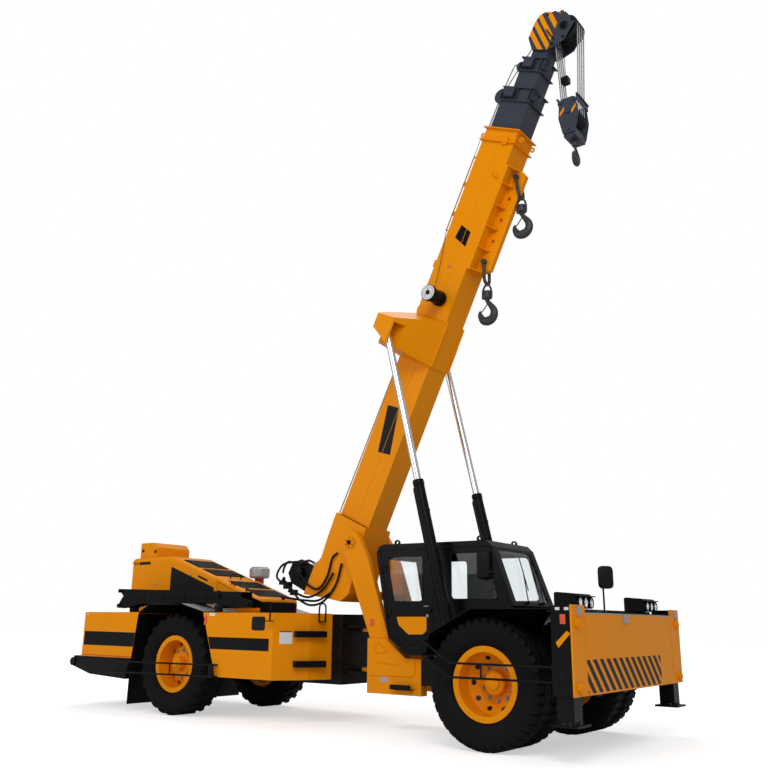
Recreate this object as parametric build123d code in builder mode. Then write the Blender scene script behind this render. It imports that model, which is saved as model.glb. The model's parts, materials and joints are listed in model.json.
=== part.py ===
from build123d import *
from math import atan2, cos, degrees, hypot, radians, sin
import os

os.makedirs("parts", exist_ok=True)

# An articulated pick-and-carry mobile crane, in millimetres.
# X points forward, Y to the machine's left, Z up, and the tyres stand on Z = 0.
# The machine stands straight, with the boom raised and its sections drawn in.

# Driving dimensions of the undercarriage
front_axle_x = 2900
wheelbase = 4720
rear_axle_x = front_axle_x - wheelbase
front_tyre_r = 613
rear_tyre_r = 626
front_tyre_w = 312
rear_tyre_w = 420
twin_spacing = 350
front_outer_tyre_y = 1090
bead_r = 305
flange_r = 352
rim_wall = 12
front_rim_half_w = 112
rear_rim_half_w = 165
seat_gap = 0.3
running_gap = 0.05
sheet = 12

# Driving dimensions of the boom
boom_angle = 64.83
pivot_x = front_axle_x - 2352
pivot_z = 2121
pivot_pin_r = 55
base_half_w = 193
base_low_n = -65
base_high_n = 425
base_wall = 10
base_start_s = 230
base_end_s = 5540
section_tail_step = 120
pad_t = 12

# Driving dimensions of the articulation between the two halves
hinge_x = front_axle_x - 2250
hinge_pin_r = 40
hinge_lug_r = 125

# Driving dimensions of the lift cylinders
cylinder_y = 664
cylinder_foot_x = front_axle_x - 662
cylinder_foot_z = 838
barrel_r = 62
rod_r = 42
barrel_length = 1968
barrel_start = 86
rod_engagement = 120
eye_s = 2660
eye_n = 435
eye_r = 62

# Front half
frame_in_y = 280
frame_out_y = 400
arm_out_y = 350
frame_low_z = 500
frame_high_z = 780
plate_x = front_axle_x + 1041
plate_t = 16
plate_overhang = 210
plate_low_z = 563
plate_high_z = 1345
cab_half_w = 490
cab_floor_z = 822
cab_mount_x = (front_axle_x - 1180, front_axle_x - 560)
cab_wall = 40
deck_z = 1320
deck_half_w = front_outer_tyre_y + front_tyre_w / 2 + 4
plate_half_w = deck_half_w + plate_overhang

# Rear half
rear_half_w = 1050
rear_tyre_y = rear_half_w - 25 - rear_tyre_w / 2
fender_top_z = 1375
beam_low_z = 760
beam_high_z = 1000
deck_rear_z = 1267
tank_low_z = 505
nose_half_w = 380
hood_half_w = 390


def span(side, a, b):
    """Low and high y of a piece that lies from a to b on one side."""
    return tuple(sorted((side * a, side * b)))


def brick(x, y, z, mode=Mode.ADD):
    """A box from its low and high x, y and z."""
    middle = ((x[0] + x[1]) / 2, (y[0] + y[1]) / 2, (z[0] + z[1]) / 2)
    with Locations(middle):
        Box(x[1] - x[0], y[1] - y[0], z[1] - z[0], mode=mode)


def prism(plane, points, depth, mode=Mode.ADD):
    """A straight-sided outline on a plane, carried along its normal."""
    with BuildSketch(plane) as outline:
        with BuildLine():
            Polyline(*points, close=True)
        make_face()
    extrude(outline.sketch, amount=depth, mode=mode)


def side_prism(points, y, mode=Mode.ADD):
    """An outline of x, z points carried from the low to the high y."""
    plane = Plane(origin=(0, y[1], 0), x_dir=(1, 0, 0), z_dir=(0, -1, 0))
    prism(plane, points, y[1] - y[0], mode)


def plan_prism(points, z, mode=Mode.ADD):
    """An outline of x, y points carried from the low to the high z."""
    prism(Plane.XY.offset(z[0]), points, z[1] - z[0], mode)


def disc_y(x, z, y, r, mode=Mode.ADD):
    """A round piece lying along y from its low to its high y."""
    with Locations(Location((x, (y[0] + y[1]) / 2, z), (90, 0, 0))):
        Cylinder(r, y[1] - y[0], mode=mode)


def disc_z(x, y, z, r, mode=Mode.ADD):
    """An upright round piece from its low to its high z."""
    with Locations((x, y, (z[0] + z[1]) / 2)):
        Cylinder(r, z[1] - z[0], mode=mode)


def pipe(points, r):
    """A round bar along a path of straight runs."""
    with BuildLine() as path:
        Polyline(*points)
    start = Vector(*points[0])
    with BuildSketch(Plane(origin=start, z_dir=Vector(*points[1]) - start)) as ring:
        Circle(r)
    sweep(ring.sketch, path=path.line, transition=Transition.RIGHT)


def revolve_y(points, side, y_mid, x, z):
    """A closed outline of radius, offset points turned about an axis along y."""
    plane = Plane(origin=(x, y_mid, z), x_dir=(1, 0, 0), z_dir=(0, 0, 1))
    with BuildSketch(plane) as outline:
        with BuildLine():
            Polyline(*[(r, side * w) for r, w in points], close=True)
        make_face()
    revolve(outline.sketch, axis=Axis((x, 0, z), (0, 1, 0)))


# The boom's own directions: s runs from the pivot to the head, n out of its back
along = Vector(cos(radians(boom_angle)), 0, sin(radians(boom_angle)))
out_of_back = Vector(-sin(radians(boom_angle)), 0, cos(radians(boom_angle)))
pivot = Vector(pivot_x, 0, pivot_z)


def on_boom(s, n, y=0):
    """The point of the machine at the boom's s, n and y."""
    return pivot + along * s + out_of_back * n + Vector(0, y, 0)


def boom_prism(points, y, mode=Mode.ADD):
    """An outline of s, n points carried from the low to the high y."""
    plane = Plane(origin=on_boom(0, 0, y[1]), x_dir=along, z_dir=(0, -1, 0))
    prism(plane, points, y[1] - y[0], mode)


def boom_box(s, n, y, mode=Mode.ADD):
    """A box from its low and high s, n and y."""
    boom_prism(((s[0], n[0]), (s[1], n[0]), (s[1], n[1]), (s[0], n[1])), y, mode)


def boom_disc(s, n, y, r, mode=Mode.ADD):
    """A round piece across the boom from its low to its high y."""
    point = on_boom(s, n)
    disc_y(point.X, point.Z, y, r, mode)


def hollow_section(s, n, half_w, wall):
    """A square tube along the boom."""
    boom_box(s, n, (-half_w, half_w))
    inner_y = (wall - half_w, half_w - wall)
    boom_box((s[0] - 1, s[1] + 1), (n[0] + wall, n[1] - wall), inner_y, Mode.SUBTRACT)


# Front chassis: two beams arched over the axle, with a cross box at each end
arch_half = 160
arch_z = 720
front_upright_x = front_axle_x + 660
cross_beam_x = (front_axle_x + 800, plate_x - 20)
arm_foot_x = (front_axle_x - 2020, front_axle_x - 1265)
cylinder_bracket_x = (cylinder_foot_x - 90, cylinder_foot_x + 70)
bracket_t = 14
barrel_eye_half_w = 48
bracket_gap = 1

with BuildPart() as front_chassis:
    for side in (-1, 1):
        beam_y = span(side, frame_in_y, frame_out_y)
        beam = (
            (arm_foot_x[1], frame_low_z),
            (front_axle_x - arch_half - 50, frame_low_z),
            (front_axle_x - arch_half, arch_z),
            (front_axle_x + arch_half, arch_z),
            (front_axle_x + arch_half + 50, frame_low_z),
            (cross_beam_x[0], frame_low_z),
            (cross_beam_x[0], deck_z - sheet),
            (front_upright_x, deck_z - sheet),
            (front_upright_x, frame_high_z),
            (arm_foot_x[1], frame_high_z),
        )
        side_prism(beam, beam_y)
        # Lift cylinder bracket: two cheeks on an outrigger from the beam
        root_y = cylinder_y - barrel_eye_half_w - bracket_gap - bracket_t
        outrigger_z = (cylinder_foot_z - 230, cylinder_foot_z - 80)
        brick(cylinder_bracket_x, span(side, frame_out_y, root_y), outrigger_z)
        for cheek in (-1, 1):
            near = cylinder_y + cheek * (barrel_eye_half_w + bracket_gap)
            far = near + cheek * bracket_t
            cheek_outline = (
                (cylinder_bracket_x[0], outrigger_z[0]),
                (cylinder_bracket_x[1] - 25, outrigger_z[0]),
                (cylinder_foot_x + 45, cylinder_foot_z + 30),
                (cylinder_foot_x + 20, cylinder_foot_z + 60),
                (cylinder_foot_x - 40, cylinder_foot_z + 60),
                (cylinder_bracket_x[0], cylinder_foot_z),
            )
            side_prism(cheek_outline, span(side, near, far))
        floor_y = span(side, root_y, cylinder_y + barrel_eye_half_w + bracket_gap)
        brick((cylinder_bracket_x[0], cylinder_bracket_x[1] - 30), floor_y, (outrigger_z[0], outrigger_z[0] + 40))
        pin_y = span(side, root_y, cylinder_y + barrel_eye_half_w + bracket_gap + bracket_t)
        disc_y(cylinder_foot_x, cylinder_foot_z, pin_y, 28)
        # Mounts under the cab's floor
        for x in cab_mount_x:
            disc_z(x, side * (frame_in_y + 60), (frame_high_z, cab_floor_z - seat_gap), 45)
    cross_y = (-frame_in_y, frame_in_y)
    brick((arm_foot_x[1], arm_foot_x[1] + 120), cross_y, (frame_low_z, frame_high_z))
    brick((front_upright_x, front_upright_x + 100), cross_y, (frame_low_z + 100, deck_z - 200))

# Boom supports: two leaning arms that end in bosses, on boxes beside the frame
hinge_lug_z = (560, 1140)
lug_t = 40
arm_boss_r = 150
with BuildPart() as boom_supports:
    for side in (-1, 1):
        arm = (
            (arm_foot_x[0], 990),
            (pivot_x - 148, pivot_z - 20),
            (pivot_x - arm_boss_r + 10, pivot_z + 60),
            (pivot_x - 80, pivot_z + 127),
            (pivot_x, pivot_z + arm_boss_r),
            (pivot_x + 85, pivot_z + 125),
            (pivot_x + 160, pivot_z + 20),
            (pivot_x + 292, pivot_z - 240),
            (front_axle_x - 1780, 1070),
            (front_axle_x - 1750, 990),
        )
        side_prism(arm, span(side, frame_in_y, arm_out_y))
        foot = (
            (arm_foot_x[0], 385),
            (arm_foot_x[1], 385),
            (arm_foot_x[1], frame_high_z),
            (front_axle_x - 1480, frame_high_z),
            (front_axle_x - 1750, 990),
            (arm_foot_x[0], 990),
        )
        side_prism(foot, span(side, frame_in_y, frame_out_y))
        disc_y(pivot_x, pivot_z, span(side, arm_out_y, arm_out_y + 25), 62)
        disc_y(pivot_x, pivot_z, span(side, frame_in_y - 1, arm_out_y + 26), pivot_pin_r, Mode.SUBTRACT)
    inner = (-frame_in_y, frame_in_y)
    brick((arm_foot_x[0], arm_foot_x[0] + 30), inner, (420, 1180))
    disc_y(front_axle_x - 2010, 1480, inner, 50)
    # Hinge knuckles of the articulation, with its upright pin
    for z in (hinge_lug_z[0] + lug_t + seat_gap, hinge_lug_z[1] - 2 * lug_t - seat_gap):
        knuckle = (
            (hinge_x, -hinge_lug_r),
            (arm_foot_x[0], -200),
            (arm_foot_x[0], 200),
            (hinge_x, hinge_lug_r),
        )
        plan_prism(knuckle, (z, z + lug_t))
        disc_z(hinge_x, 0, (z, z + lug_t), hinge_lug_r)
    disc_z(hinge_x, 0, (hinge_lug_z[0] - 10, hinge_lug_z[1] + 10), hinge_pin_r)

# Front axle: a beam under the frame with saddles, hubs at its ends
hub_r = 120
axle_r = 85
front_disc_y = front_outer_tyre_y - twin_spacing / 2
front_hub_y = front_disc_y - 45
with BuildPart() as front_axle:
    disc_y(front_axle_x, front_tyre_r, (355 - front_disc_y, front_disc_y - 355), axle_r)
    disc_y(front_axle_x, front_tyre_r, (-170, 170), 190)
    for side in (-1, 1):
        brick(
            (front_axle_x - 110, front_axle_x + 110),
            span(side, frame_in_y, frame_out_y),
            (front_tyre_r - 20, arch_z),
        )
        disc_y(front_axle_x, front_tyre_r, span(side, front_disc_y - 355, front_hub_y), 70)

# Rear axle, hung under the rear frame
rear_disc_y = rear_tyre_y + 10
with BuildPart() as rear_axle:
    disc_y(rear_axle_x, rear_tyre_r, (305 - rear_disc_y, rear_disc_y - 305), axle_r)
    disc_y(rear_axle_x, rear_tyre_r, (-140, 140), 170)
    for side in (-1, 1):
        disc_y(rear_axle_x, rear_tyre_r, span(side, rear_disc_y - 305, rear_disc_y - 70), 60)
        saddle_z = (rear_tyre_r - 20, beam_low_z)
        brick((rear_axle_x - 110, rear_axle_x + 110), span(side, 250, nose_half_w), saddle_z)


# Tyre outline: radius, offset from the tyre's middle, bead to crown and back
def tyre_outline(tyre_r, half_w, bead_half):
    """The outline of one tyre as radius, offset points."""
    inner_r = bead_r + seat_gap
    table = (
        (inner_r, bead_half),
        (flange_r + 6, bead_half),
        (flange_r + 16, bead_half + 14),
        (0.5 * (inner_r + tyre_r) + 10, half_w),
        (tyre_r - 48, half_w - 6),
        (tyre_r - 12, half_w - 26),
        (tyre_r, half_w - 60),
    )
    return list(table) + [(r, -w) for r, w in reversed(table)]


def rim_outline(half_w, disc_w, disc_in_r, cup_r, cup_w):
    """One rim: flanged barrel, disc and the pressed cup at its centre."""
    return (
        (flange_r, half_w),
        (flange_r, half_w - 10),
        (bead_r, half_w - 14),
        (bead_r, 14 - half_w),
        (flange_r, 10 - half_w),
        (flange_r, -half_w),
        (bead_r - rim_wall, 4 - half_w),
        (bead_r - rim_wall, disc_w - 18),
        (cup_r, cup_w - 18),
        (disc_in_r, cup_w - 18),
        (disc_in_r, cup_w),
        (cup_r, cup_w),
        (bead_r - rim_wall, disc_w),
        (bead_r - rim_wall, half_w - 4),
    )


sides = {"left": 1, "right": -1}
hub_bore_r = 72
front_tyres = {}
front_rims = {}
rear_tyres = {}
rear_rims = {}
for name, side in sides.items():
    outer_y = side * front_outer_tyre_y
    inner_y = side * (front_outer_tyre_y - twin_spacing)
    outline = tyre_outline(front_tyre_r, front_tyre_w / 2, front_rim_half_w - 15)
    with BuildPart() as front_tyre:
        revolve_y(outline, side, outer_y, front_axle_x, front_tyre_r)
        revolve_y(outline, side, inner_y, front_axle_x, front_tyre_r)
    front_tyres[name] = front_tyre
    with BuildPart() as front_rim:
        disc_offset = front_disc_y - front_outer_tyre_y
        outer_rim = rim_outline(front_rim_half_w, -70, hub_bore_r + 30, 200, disc_offset + 18)
        revolve_y(outer_rim, side, outer_y, front_axle_x, front_tyre_r)
        inner_rim = rim_outline(front_rim_half_w, -70, hub_bore_r + 30, 200, disc_offset + 18)
        revolve_y(inner_rim, -side, inner_y, front_axle_x, front_tyre_r)
        disc_y(front_axle_x, front_tyre_r, span(side, front_disc_y - 195, front_disc_y + 10), 180)
        disc_y(front_axle_x, front_tyre_r, span(side, front_disc_y, front_disc_y + 95), 110)
        bore_y = span(side, front_disc_y - 215, front_hub_y + 5)
        disc_y(front_axle_x, front_tyre_r, bore_y, 70 + running_gap, Mode.SUBTRACT)
    front_rims[name] = front_rim
    wheel_y = side * rear_tyre_y
    outline = tyre_outline(rear_tyre_r, rear_tyre_w / 2, rear_rim_half_w - 15)
    with BuildPart() as rear_tyre:
        revolve_y(outline, side, wheel_y, rear_axle_x, rear_tyre_r)
    rear_tyres[name] = rear_tyre
    with BuildPart() as rear_rim:
        rim = rim_outline(rear_rim_half_w, -40, hub_bore_r + 20, 200, 10)
        revolve_y(rim, side, wheel_y, rear_axle_x, rear_tyre_r)
        disc_y(rear_axle_x, rear_tyre_r, span(side, rear_disc_y - 150, rear_disc_y + 20), 150)
        disc_y(rear_axle_x, rear_tyre_r, span(side, rear_disc_y, rear_disc_y + 110), 85)
        bore_y = span(side, rear_disc_y - 160, rear_disc_y - 65)
        disc_y(rear_axle_x, rear_tyre_r, bore_y, 60 + running_gap, Mode.SUBTRACT)
    rear_rims[name] = rear_rim

# Cab: a hollow box with leaning front, cut at its windows and at the door
cab_outline = (
    (front_axle_x - 1660, 1010),
    (front_axle_x - 1390, cab_floor_z),
    (front_axle_x - 450, cab_floor_z),
    (front_axle_x - 300, 1000),
    (front_axle_x - 80, 1300),
    (front_axle_x - 40, 1360),
    (front_axle_x - 280, 1985),
    (front_axle_x - 350, 2050),
    (front_axle_x - 1740, 2060),
    (front_axle_x - 1810, 2030),
    (front_axle_x - 1840, 1960),
)
cab_inner = (
    (front_axle_x - 1610, 1040),
    (front_axle_x - 1375, 870),
    (front_axle_x - 475, 870),
    (front_axle_x - 335, 1025),
    (front_axle_x - 125, 1310),
    (front_axle_x - 90, 1365),
    (front_axle_x - 318, 1960),
    (front_axle_x - 370, 2005),
    (front_axle_x - 1725, 2015),
    (front_axle_x - 1780, 1985),
    (front_axle_x - 1795, 1950),
)
door_outline = (
    (front_axle_x - 1630, 1055),
    (front_axle_x - 1420, 905),
    (front_axle_x - 1045, 905),
    (front_axle_x - 1045, 1985),
    (front_axle_x - 1760, 1985),
    (front_axle_x - 1770, 1950),
)
door_opening = (
    (front_axle_x - 1637, 1051),
    (front_axle_x - 1422, 900),
    (front_axle_x - 1040, 900),
    (front_axle_x - 1040, 1990),
    (front_axle_x - 1763, 1990),
    (front_axle_x - 1776, 1950),
)
door_window = (
    (front_axle_x - 1620, 1385),
    (front_axle_x - 1160, 1385),
    (front_axle_x - 1160, 1930),
    (front_axle_x - 1690, 1930),
)
side_window = (
    (front_axle_x - 820, 1410),
    (front_axle_x - 150, 1410),
    (front_axle_x - 340, 1945),
    (front_axle_x - 820, 1945),
)
# The door turns on a line beside its leaning rear edge, just outside the cab's wall
hinge_low = Vector(front_axle_x - 1633.5, -cab_half_w - 10, 1053)
hinge_high = Vector(front_axle_x - 1773, -cab_half_w - 10, 1950)
hinge_dir = (hinge_high - hinge_low).normalized()
door_pin_r = 6
door_knuckle_r = 10
door_hinge_spots = (200, 700)
windscreen_y = 400
glass_t = 6
windscreen_low = (front_axle_x - 55, 1400)
windscreen_high = (front_axle_x - 265, 1945)
lean = Vector(windscreen_high[0] - windscreen_low[0], 0, windscreen_high[1] - windscreen_low[1])
screen_plane = Plane(
    origin=(windscreen_low[0], 0, windscreen_low[1]),
    x_dir=(0, 1, 0),
    z_dir=Vector(0, 1, 0).cross(lean),
)
screen_points = (
    (-windscreen_y, 0),
    (windscreen_y, 0),
    (windscreen_y - 30, lean.length),
    (30 - windscreen_y, lean.length),
)
rear_window_z = (1420, 1900)
rear_window_y = (-330, 330)

with BuildPart() as cab_shell:
    side_prism(cab_outline, (-cab_half_w, cab_half_w))
    edges = cab_shell.edges().filter_by(Axis.Y, reverse=True).group_by(Axis.Z)[-1]
    side_prism(cab_inner, (cab_wall - cab_half_w, cab_half_w - cab_wall), Mode.SUBTRACT)
    near_wall = (-cab_half_w - 1, cab_wall - cab_half_w + 1)
    far_wall = (cab_half_w - cab_wall - 1, cab_half_w + 1)
    side_prism(door_opening, near_wall, Mode.SUBTRACT)
    side_prism(door_window, far_wall, Mode.SUBTRACT)
    for wall in (near_wall, far_wall):
        side_prism(side_window, wall, Mode.SUBTRACT)
    prism(screen_plane.offset(-60), screen_points, 120, Mode.SUBTRACT)
    rear_wall_x = (front_axle_x - 1900, front_axle_x - 1650)
    brick(rear_wall_x, rear_window_y, rear_window_z, Mode.SUBTRACT)
    # Hinge pins of the door, each on an ear below its knuckle
    for spot in door_hinge_spots:
        seat = hinge_low + hinge_dir * spot
        with Locations(Plane(origin=seat - hinge_dir * 10, z_dir=hinge_dir)):
            Cylinder(door_knuckle_r, 20)
        with Locations(Plane(origin=seat + hinge_dir * 35, z_dir=hinge_dir)):
            Cylinder(door_pin_r, 70)
        with Locations(Plane(origin=seat - hinge_dir * 10, x_dir=(0, 1, 0), z_dir=hinge_dir)):
            with Locations((8, 18, 0)):
                Box(16, 36, 20)
    # Lifting eyes on the roof
    for x in (front_axle_x - 1600, front_axle_x - 480):
        for y in (-400, 400):
            disc_y(x, 2075, (y - 8, y + 8), 40)
            disc_y(x, 2082, (y - 9, y + 9), 16, Mode.SUBTRACT)

glass_in = 14
with BuildPart() as cab_glass:
    left_pane = (cab_half_w - glass_in - glass_t, cab_half_w - glass_in)
    right_pane = (glass_in - cab_half_w, glass_in + glass_t - cab_half_w)
    side_prism(door_window, left_pane)
    for pane in (left_pane, right_pane):
        side_prism(side_window, pane)
    prism(screen_plane.offset(-16), screen_points, glass_t)
    rear_pane = (
        (front_axle_x - 1764, rear_window_z[0]),
        (front_axle_x - 1764 + glass_t, rear_window_z[0]),
        (front_axle_x - 1812 + glass_t, rear_window_z[1]),
        (front_axle_x - 1812, rear_window_z[1]),
    )
    side_prism(rear_pane, rear_window_y)

door_y = (-cab_half_w, cab_wall - cab_half_w)
with BuildPart() as cab_door:
    side_prism(door_outline, door_y)
    side_prism(door_window, (door_y[0] - 1, door_y[1] + 1), Mode.SUBTRACT)
    for spot in door_hinge_spots:
        knuckle_foot = hinge_low + hinge_dir * (spot + seat_gap)
        knuckle_plane = Plane(origin=knuckle_foot + hinge_dir * 30, x_dir=(0, 1, 0), z_dir=hinge_dir)
        with Locations(knuckle_plane):
            Cylinder(door_knuckle_r, 60)
            with Locations((5, -28, 0)):
                Box(10, 56, 60)
            Cylinder(door_pin_r + running_gap, 200, mode=Mode.SUBTRACT)
    # The handle near the free edge
    brick(
        (front_axle_x - 1130, front_axle_x - 1060),
        (-cab_half_w - 25, -cab_half_w),
        (1290, 1320),
    )

with BuildPart() as door_glass:
    side_prism(door_window, right_pane)

with BuildPart() as cab_seat:
    brick((front_axle_x - 1300, front_axle_x - 850), (-230, 230), (1180, 1290))
    back = (
        (front_axle_x - 1300, 1290),
        (front_axle_x - 1180, 1290),
        (front_axle_x - 1290, 1850),
        (front_axle_x - 1400, 1850),
    )
    side_prism(back, (-210, 210))
    brick((front_axle_x - 1240, front_axle_x - 940), (-160, 160), (870, 1180))

with BuildPart() as cab_controls:
    console = (
        (front_axle_x - 560, 870),
        (front_axle_x - 480, 870),
        (front_axle_x - 340, 1040),
        (front_axle_x - 210, 1250),
        (front_axle_x - 300, 1330),
        (front_axle_x - 520, 1230),
    )
    side_prism(console, (-260, 260))
    wheel_centre = Vector(front_axle_x - 600, 0, 1430)
    column_foot = Vector(front_axle_x - 440, 0, 1235)
    column_dir = wheel_centre - column_foot
    with Locations(Plane(origin=(column_foot + wheel_centre) / 2, z_dir=column_dir)):
        Cylinder(24, column_dir.length)
    with Locations(Plane(origin=wheel_centre, z_dir=column_dir)):
        Torus(190, 15)
        Box(380, 30, 12)
        Cylinder(45, 30)

# Front deck and fenders: one bent sheet over the wheels, cut for the cab and cylinders
slot_y = (cylinder_y - barrel_r - 22, cylinder_y + barrel_r + 22)
deck_front_x = front_axle_x + 790
with BuildPart() as front_deck:
    top_front = front_axle_x - 30
    brick((top_front, deck_front_x), (-deck_half_w, deck_half_w), (deck_z - sheet, deck_z))
    for side in (-1, 1):
        fender = (
            (front_axle_x - 660, 860),
            (front_axle_x - 610, 1070),
            (front_axle_x - 130, deck_z),
            (top_front, deck_z),
            (top_front, deck_z - sheet),
            (front_axle_x - 127, deck_z - sheet),
            (front_axle_x - 600, 1062),
            (front_axle_x - 648, 860),
        )
        side_prism(fender, span(side, cab_half_w + 8, deck_half_w))
        slot_x = (front_axle_x - 700, front_axle_x - 270)
        brick(slot_x, span(side, slot_y[0] - 120, slot_y[1]), (800, 1400), Mode.SUBTRACT)
        front_skirt = (deck_front_x - sheet, deck_front_x)
        brick(front_skirt, span(side, frame_out_y + 5, deck_half_w), (930, deck_z - sheet))

# Front plate across the whole width, with higher end strips and round keepers
strip_w = 280
with BuildPart() as front_plate:
    centre_y = plate_half_w - strip_w
    plate_span = (plate_x - plate_t, plate_x)
    brick(plate_span, (-plate_half_w, plate_half_w), (plate_low_z, plate_high_z - 65))
    for side in (-1, 1):
        brick(plate_span, span(side, centre_y, plate_half_w), (plate_low_z, plate_high_z))
        for z in (plate_low_z + 70, plate_high_z - 160):
            with Locations(Location((plate_x + 10, side * (plate_half_w - 110), z), (0, 90, 0))):
                Cylinder(48, 20)

# Stabiliser beam behind the plate, with an upright square tube at each end
leg_out_y = plate_half_w - 35
leg_in_y = leg_out_y - 210
leg_wall = 14
leg_x = (front_axle_x + 820, plate_x - plate_t)
leg_tube_low_z = 560
leg_gap = 6
with BuildPart() as stabiliser_beam:
    brick((cross_beam_x[0], plate_x - plate_t), (-leg_in_y, leg_in_y), (950, deck_z - 30))
    for side in (-1, 1):
        brick(leg_x, span(side, leg_in_y, leg_out_y), (leg_tube_low_z, plate_high_z - 5))
        hole_x = (leg_x[0] + leg_wall, leg_x[1] - leg_wall)
        hole_y = span(side, leg_in_y + leg_wall, leg_out_y - leg_wall)
        brick(hole_x, hole_y, (leg_tube_low_z - 1, plate_high_z - 25), Mode.SUBTRACT)

foot_z = 310
foot_t = 20
leg_top_z = 1180
stabiliser_legs = {}
for name, side in sides.items():
    with BuildPart() as stabiliser_leg:
        tube_x = (leg_x[0] + leg_wall + leg_gap, leg_x[1] - leg_wall - leg_gap)
        tube_y = span(side, leg_in_y + leg_wall + leg_gap, leg_out_y - leg_wall - leg_gap)
        brick(tube_x, tube_y, (foot_z + foot_t, leg_top_z))
        # Slide pads that run on the tube's walls
        for z in (700, leg_top_z - 60):
            pad_x = (tube_x[0] - leg_gap + seat_gap, tube_x[1] + leg_gap - seat_gap)
            middle = sum(tube_y) / 2
            brick(pad_x, (middle - 40, middle + 40), (z, z + 50))
        foot_x = (leg_x[0] - 20, leg_x[1] + 30)
        brick(foot_x, span(side, leg_in_y - 40, leg_out_y + 30), (foot_z, foot_z + foot_t))
    stabiliser_legs[name] = stabiliser_leg

# Lamp boxes on the deck, each with two round lamps
lamp_x = (front_axle_x + 700, front_axle_x + 920)
lamp_in_y = 720
lamp_out_y = 1080
lamp_low_z = deck_z + seat_gap
with BuildPart() as lamp_boxes:
    for side in (-1, 1):
        box_outline = (
            (lamp_x[0], lamp_low_z),
            (lamp_x[1], lamp_low_z),
            (lamp_x[1], lamp_low_z + 60),
            (lamp_x[1] - 50, lamp_low_z + 125),
            (lamp_x[0], lamp_low_z + 140),
        )
        side_prism(box_outline, span(side, lamp_in_y, lamp_out_y))
        for y in (lamp_in_y + 100, lamp_out_y - 100):
            with Locations(Location((lamp_x[1] + 5, side * y, lamp_low_z + 55), (0, 90, 0))):
                Cylinder(42, 50)

# Guard rails round the outside of the front wheels
rail_y = deck_half_w + 85
rail_r = 11
with BuildPart() as front_rails:
    for side in (-1, 1):
        for tail_x, z in ((-622, 800), (-652, 670)):
            tail_z = z + 200
            path = (
                (front_axle_x + tail_x, side * deck_half_w, tail_z),
                (front_axle_x + tail_x, side * rail_y, tail_z),
                (front_axle_x - 300, side * rail_y, z),
                (leg_x[0] - 25, side * rail_y, z),
            )
            pipe(path, rail_r)
        brick(
            (leg_x[0] - 40, leg_x[0] - seat_gap),
            span(side, rail_y - 10, rail_y + 20),
            (640, 840),
        )
        for z in (800, 670):
            brick((leg_x[0] - 40, leg_x[0] - 20), span(side, rail_y - 5, rail_y + 30), (z - 12, z + 12))
        disc_z(front_axle_x + 40, side * rail_y, (670, 800), 9)

# Mirrors: one on the cab's front corner and one on the front plate
with BuildPart() as mirrors:
    pipe(
        (
            (front_axle_x + 1000, -600, deck_z - 30 + seat_gap),
            (front_axle_x + 1000, -600, 1570),
            (front_axle_x + 1008, -520, 1610),
        ),
        8,
    )
    with Locations(Location((front_axle_x + 1010, -510, 1625), (0, 0, 50))):
        Box(40, 150, 220)

# Rear frame: two beams, the nose with the hinge lugs, and the bumper
bumper_x = (front_axle_x - 6800, front_axle_x - 5560)
nose_x = (front_axle_x - 3300, hinge_x - 170)
with BuildPart() as rear_frame:
    brick(nose_x, (-nose_half_w, nose_half_w), (450, 1260))
    for z in (hinge_lug_z[0], hinge_lug_z[1] - lug_t):
        lug = (
            (hinge_x, -hinge_lug_r - 10),
            (nose_x[1], -260),
            (nose_x[1], 260),
            (hinge_x, hinge_lug_r + 10),
        )
        plan_prism(lug, (z, z + lug_t))
        disc_z(hinge_x, 0, (z, z + lug_t), hinge_lug_r + 10)
        disc_z(hinge_x, 0, (z - 1, z + lug_t + 1), hinge_pin_r + running_gap, Mode.SUBTRACT)
    for side in (-1, 1):
        brick((bumper_x[1] - 50, nose_x[0]), span(side, 250, nose_half_w), (beam_low_z, beam_high_z))
    bumper = (
        (bumper_x[0], 530),
        (bumper_x[0] + 400, 435),
        (bumper_x[1] - 60, 400),
        (bumper_x[1], 670),
        (bumper_x[0], 670),
    )
    side_prism(bumper, (20 - rear_half_w, rear_half_w - 20))
    disc_y(bumper_x[0], 590, (-rear_half_w, rear_half_w), 55)
    brick((bumper_x[1] - 60, bumper_x[1]), (-nose_half_w, nose_half_w), (600, beam_high_z))

with BuildPart() as counterweight:
    weight = (
        (front_axle_x - 6600, 670),
        (front_axle_x - 5500, 670),
        (front_axle_x - 5420, deck_rear_z),
        (front_axle_x - 6600, deck_rear_z),
    )
    side_prism(weight, (-rear_half_w, rear_half_w))
    brick((bumper_x[1] - 60, front_axle_x - 5400), (-nose_half_w, nose_half_w), (669, 1001), Mode.SUBTRACT)

# Side bodies of the rear half, with two bends each
body_rear_x = (front_axle_x - 3870, front_axle_x - 4150)
with BuildPart() as side_bodies:
    for side in (-1, 1):
        plan = (
            (body_rear_x[1], side * nose_half_w),
            (body_rear_x[1], side * rear_half_w),
            (front_axle_x - 2930, side * rear_half_w),
            (front_axle_x - 2680, side * 680),
            (front_axle_x - 2580, side * nose_half_w),
        )
        plan_prism(plan, (tank_low_z, deck_rear_z))
        wedge = (
            (body_rear_x[1] - 1, tank_low_z - 1),
            (body_rear_x[0], tank_low_z - 1),
            (body_rear_x[1], deck_rear_z),
            (body_rear_x[1] - 1, deck_rear_z),
        )
        side_prism(wedge, span(side, nose_half_w - 1, rear_half_w + 1), Mode.SUBTRACT)

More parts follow.
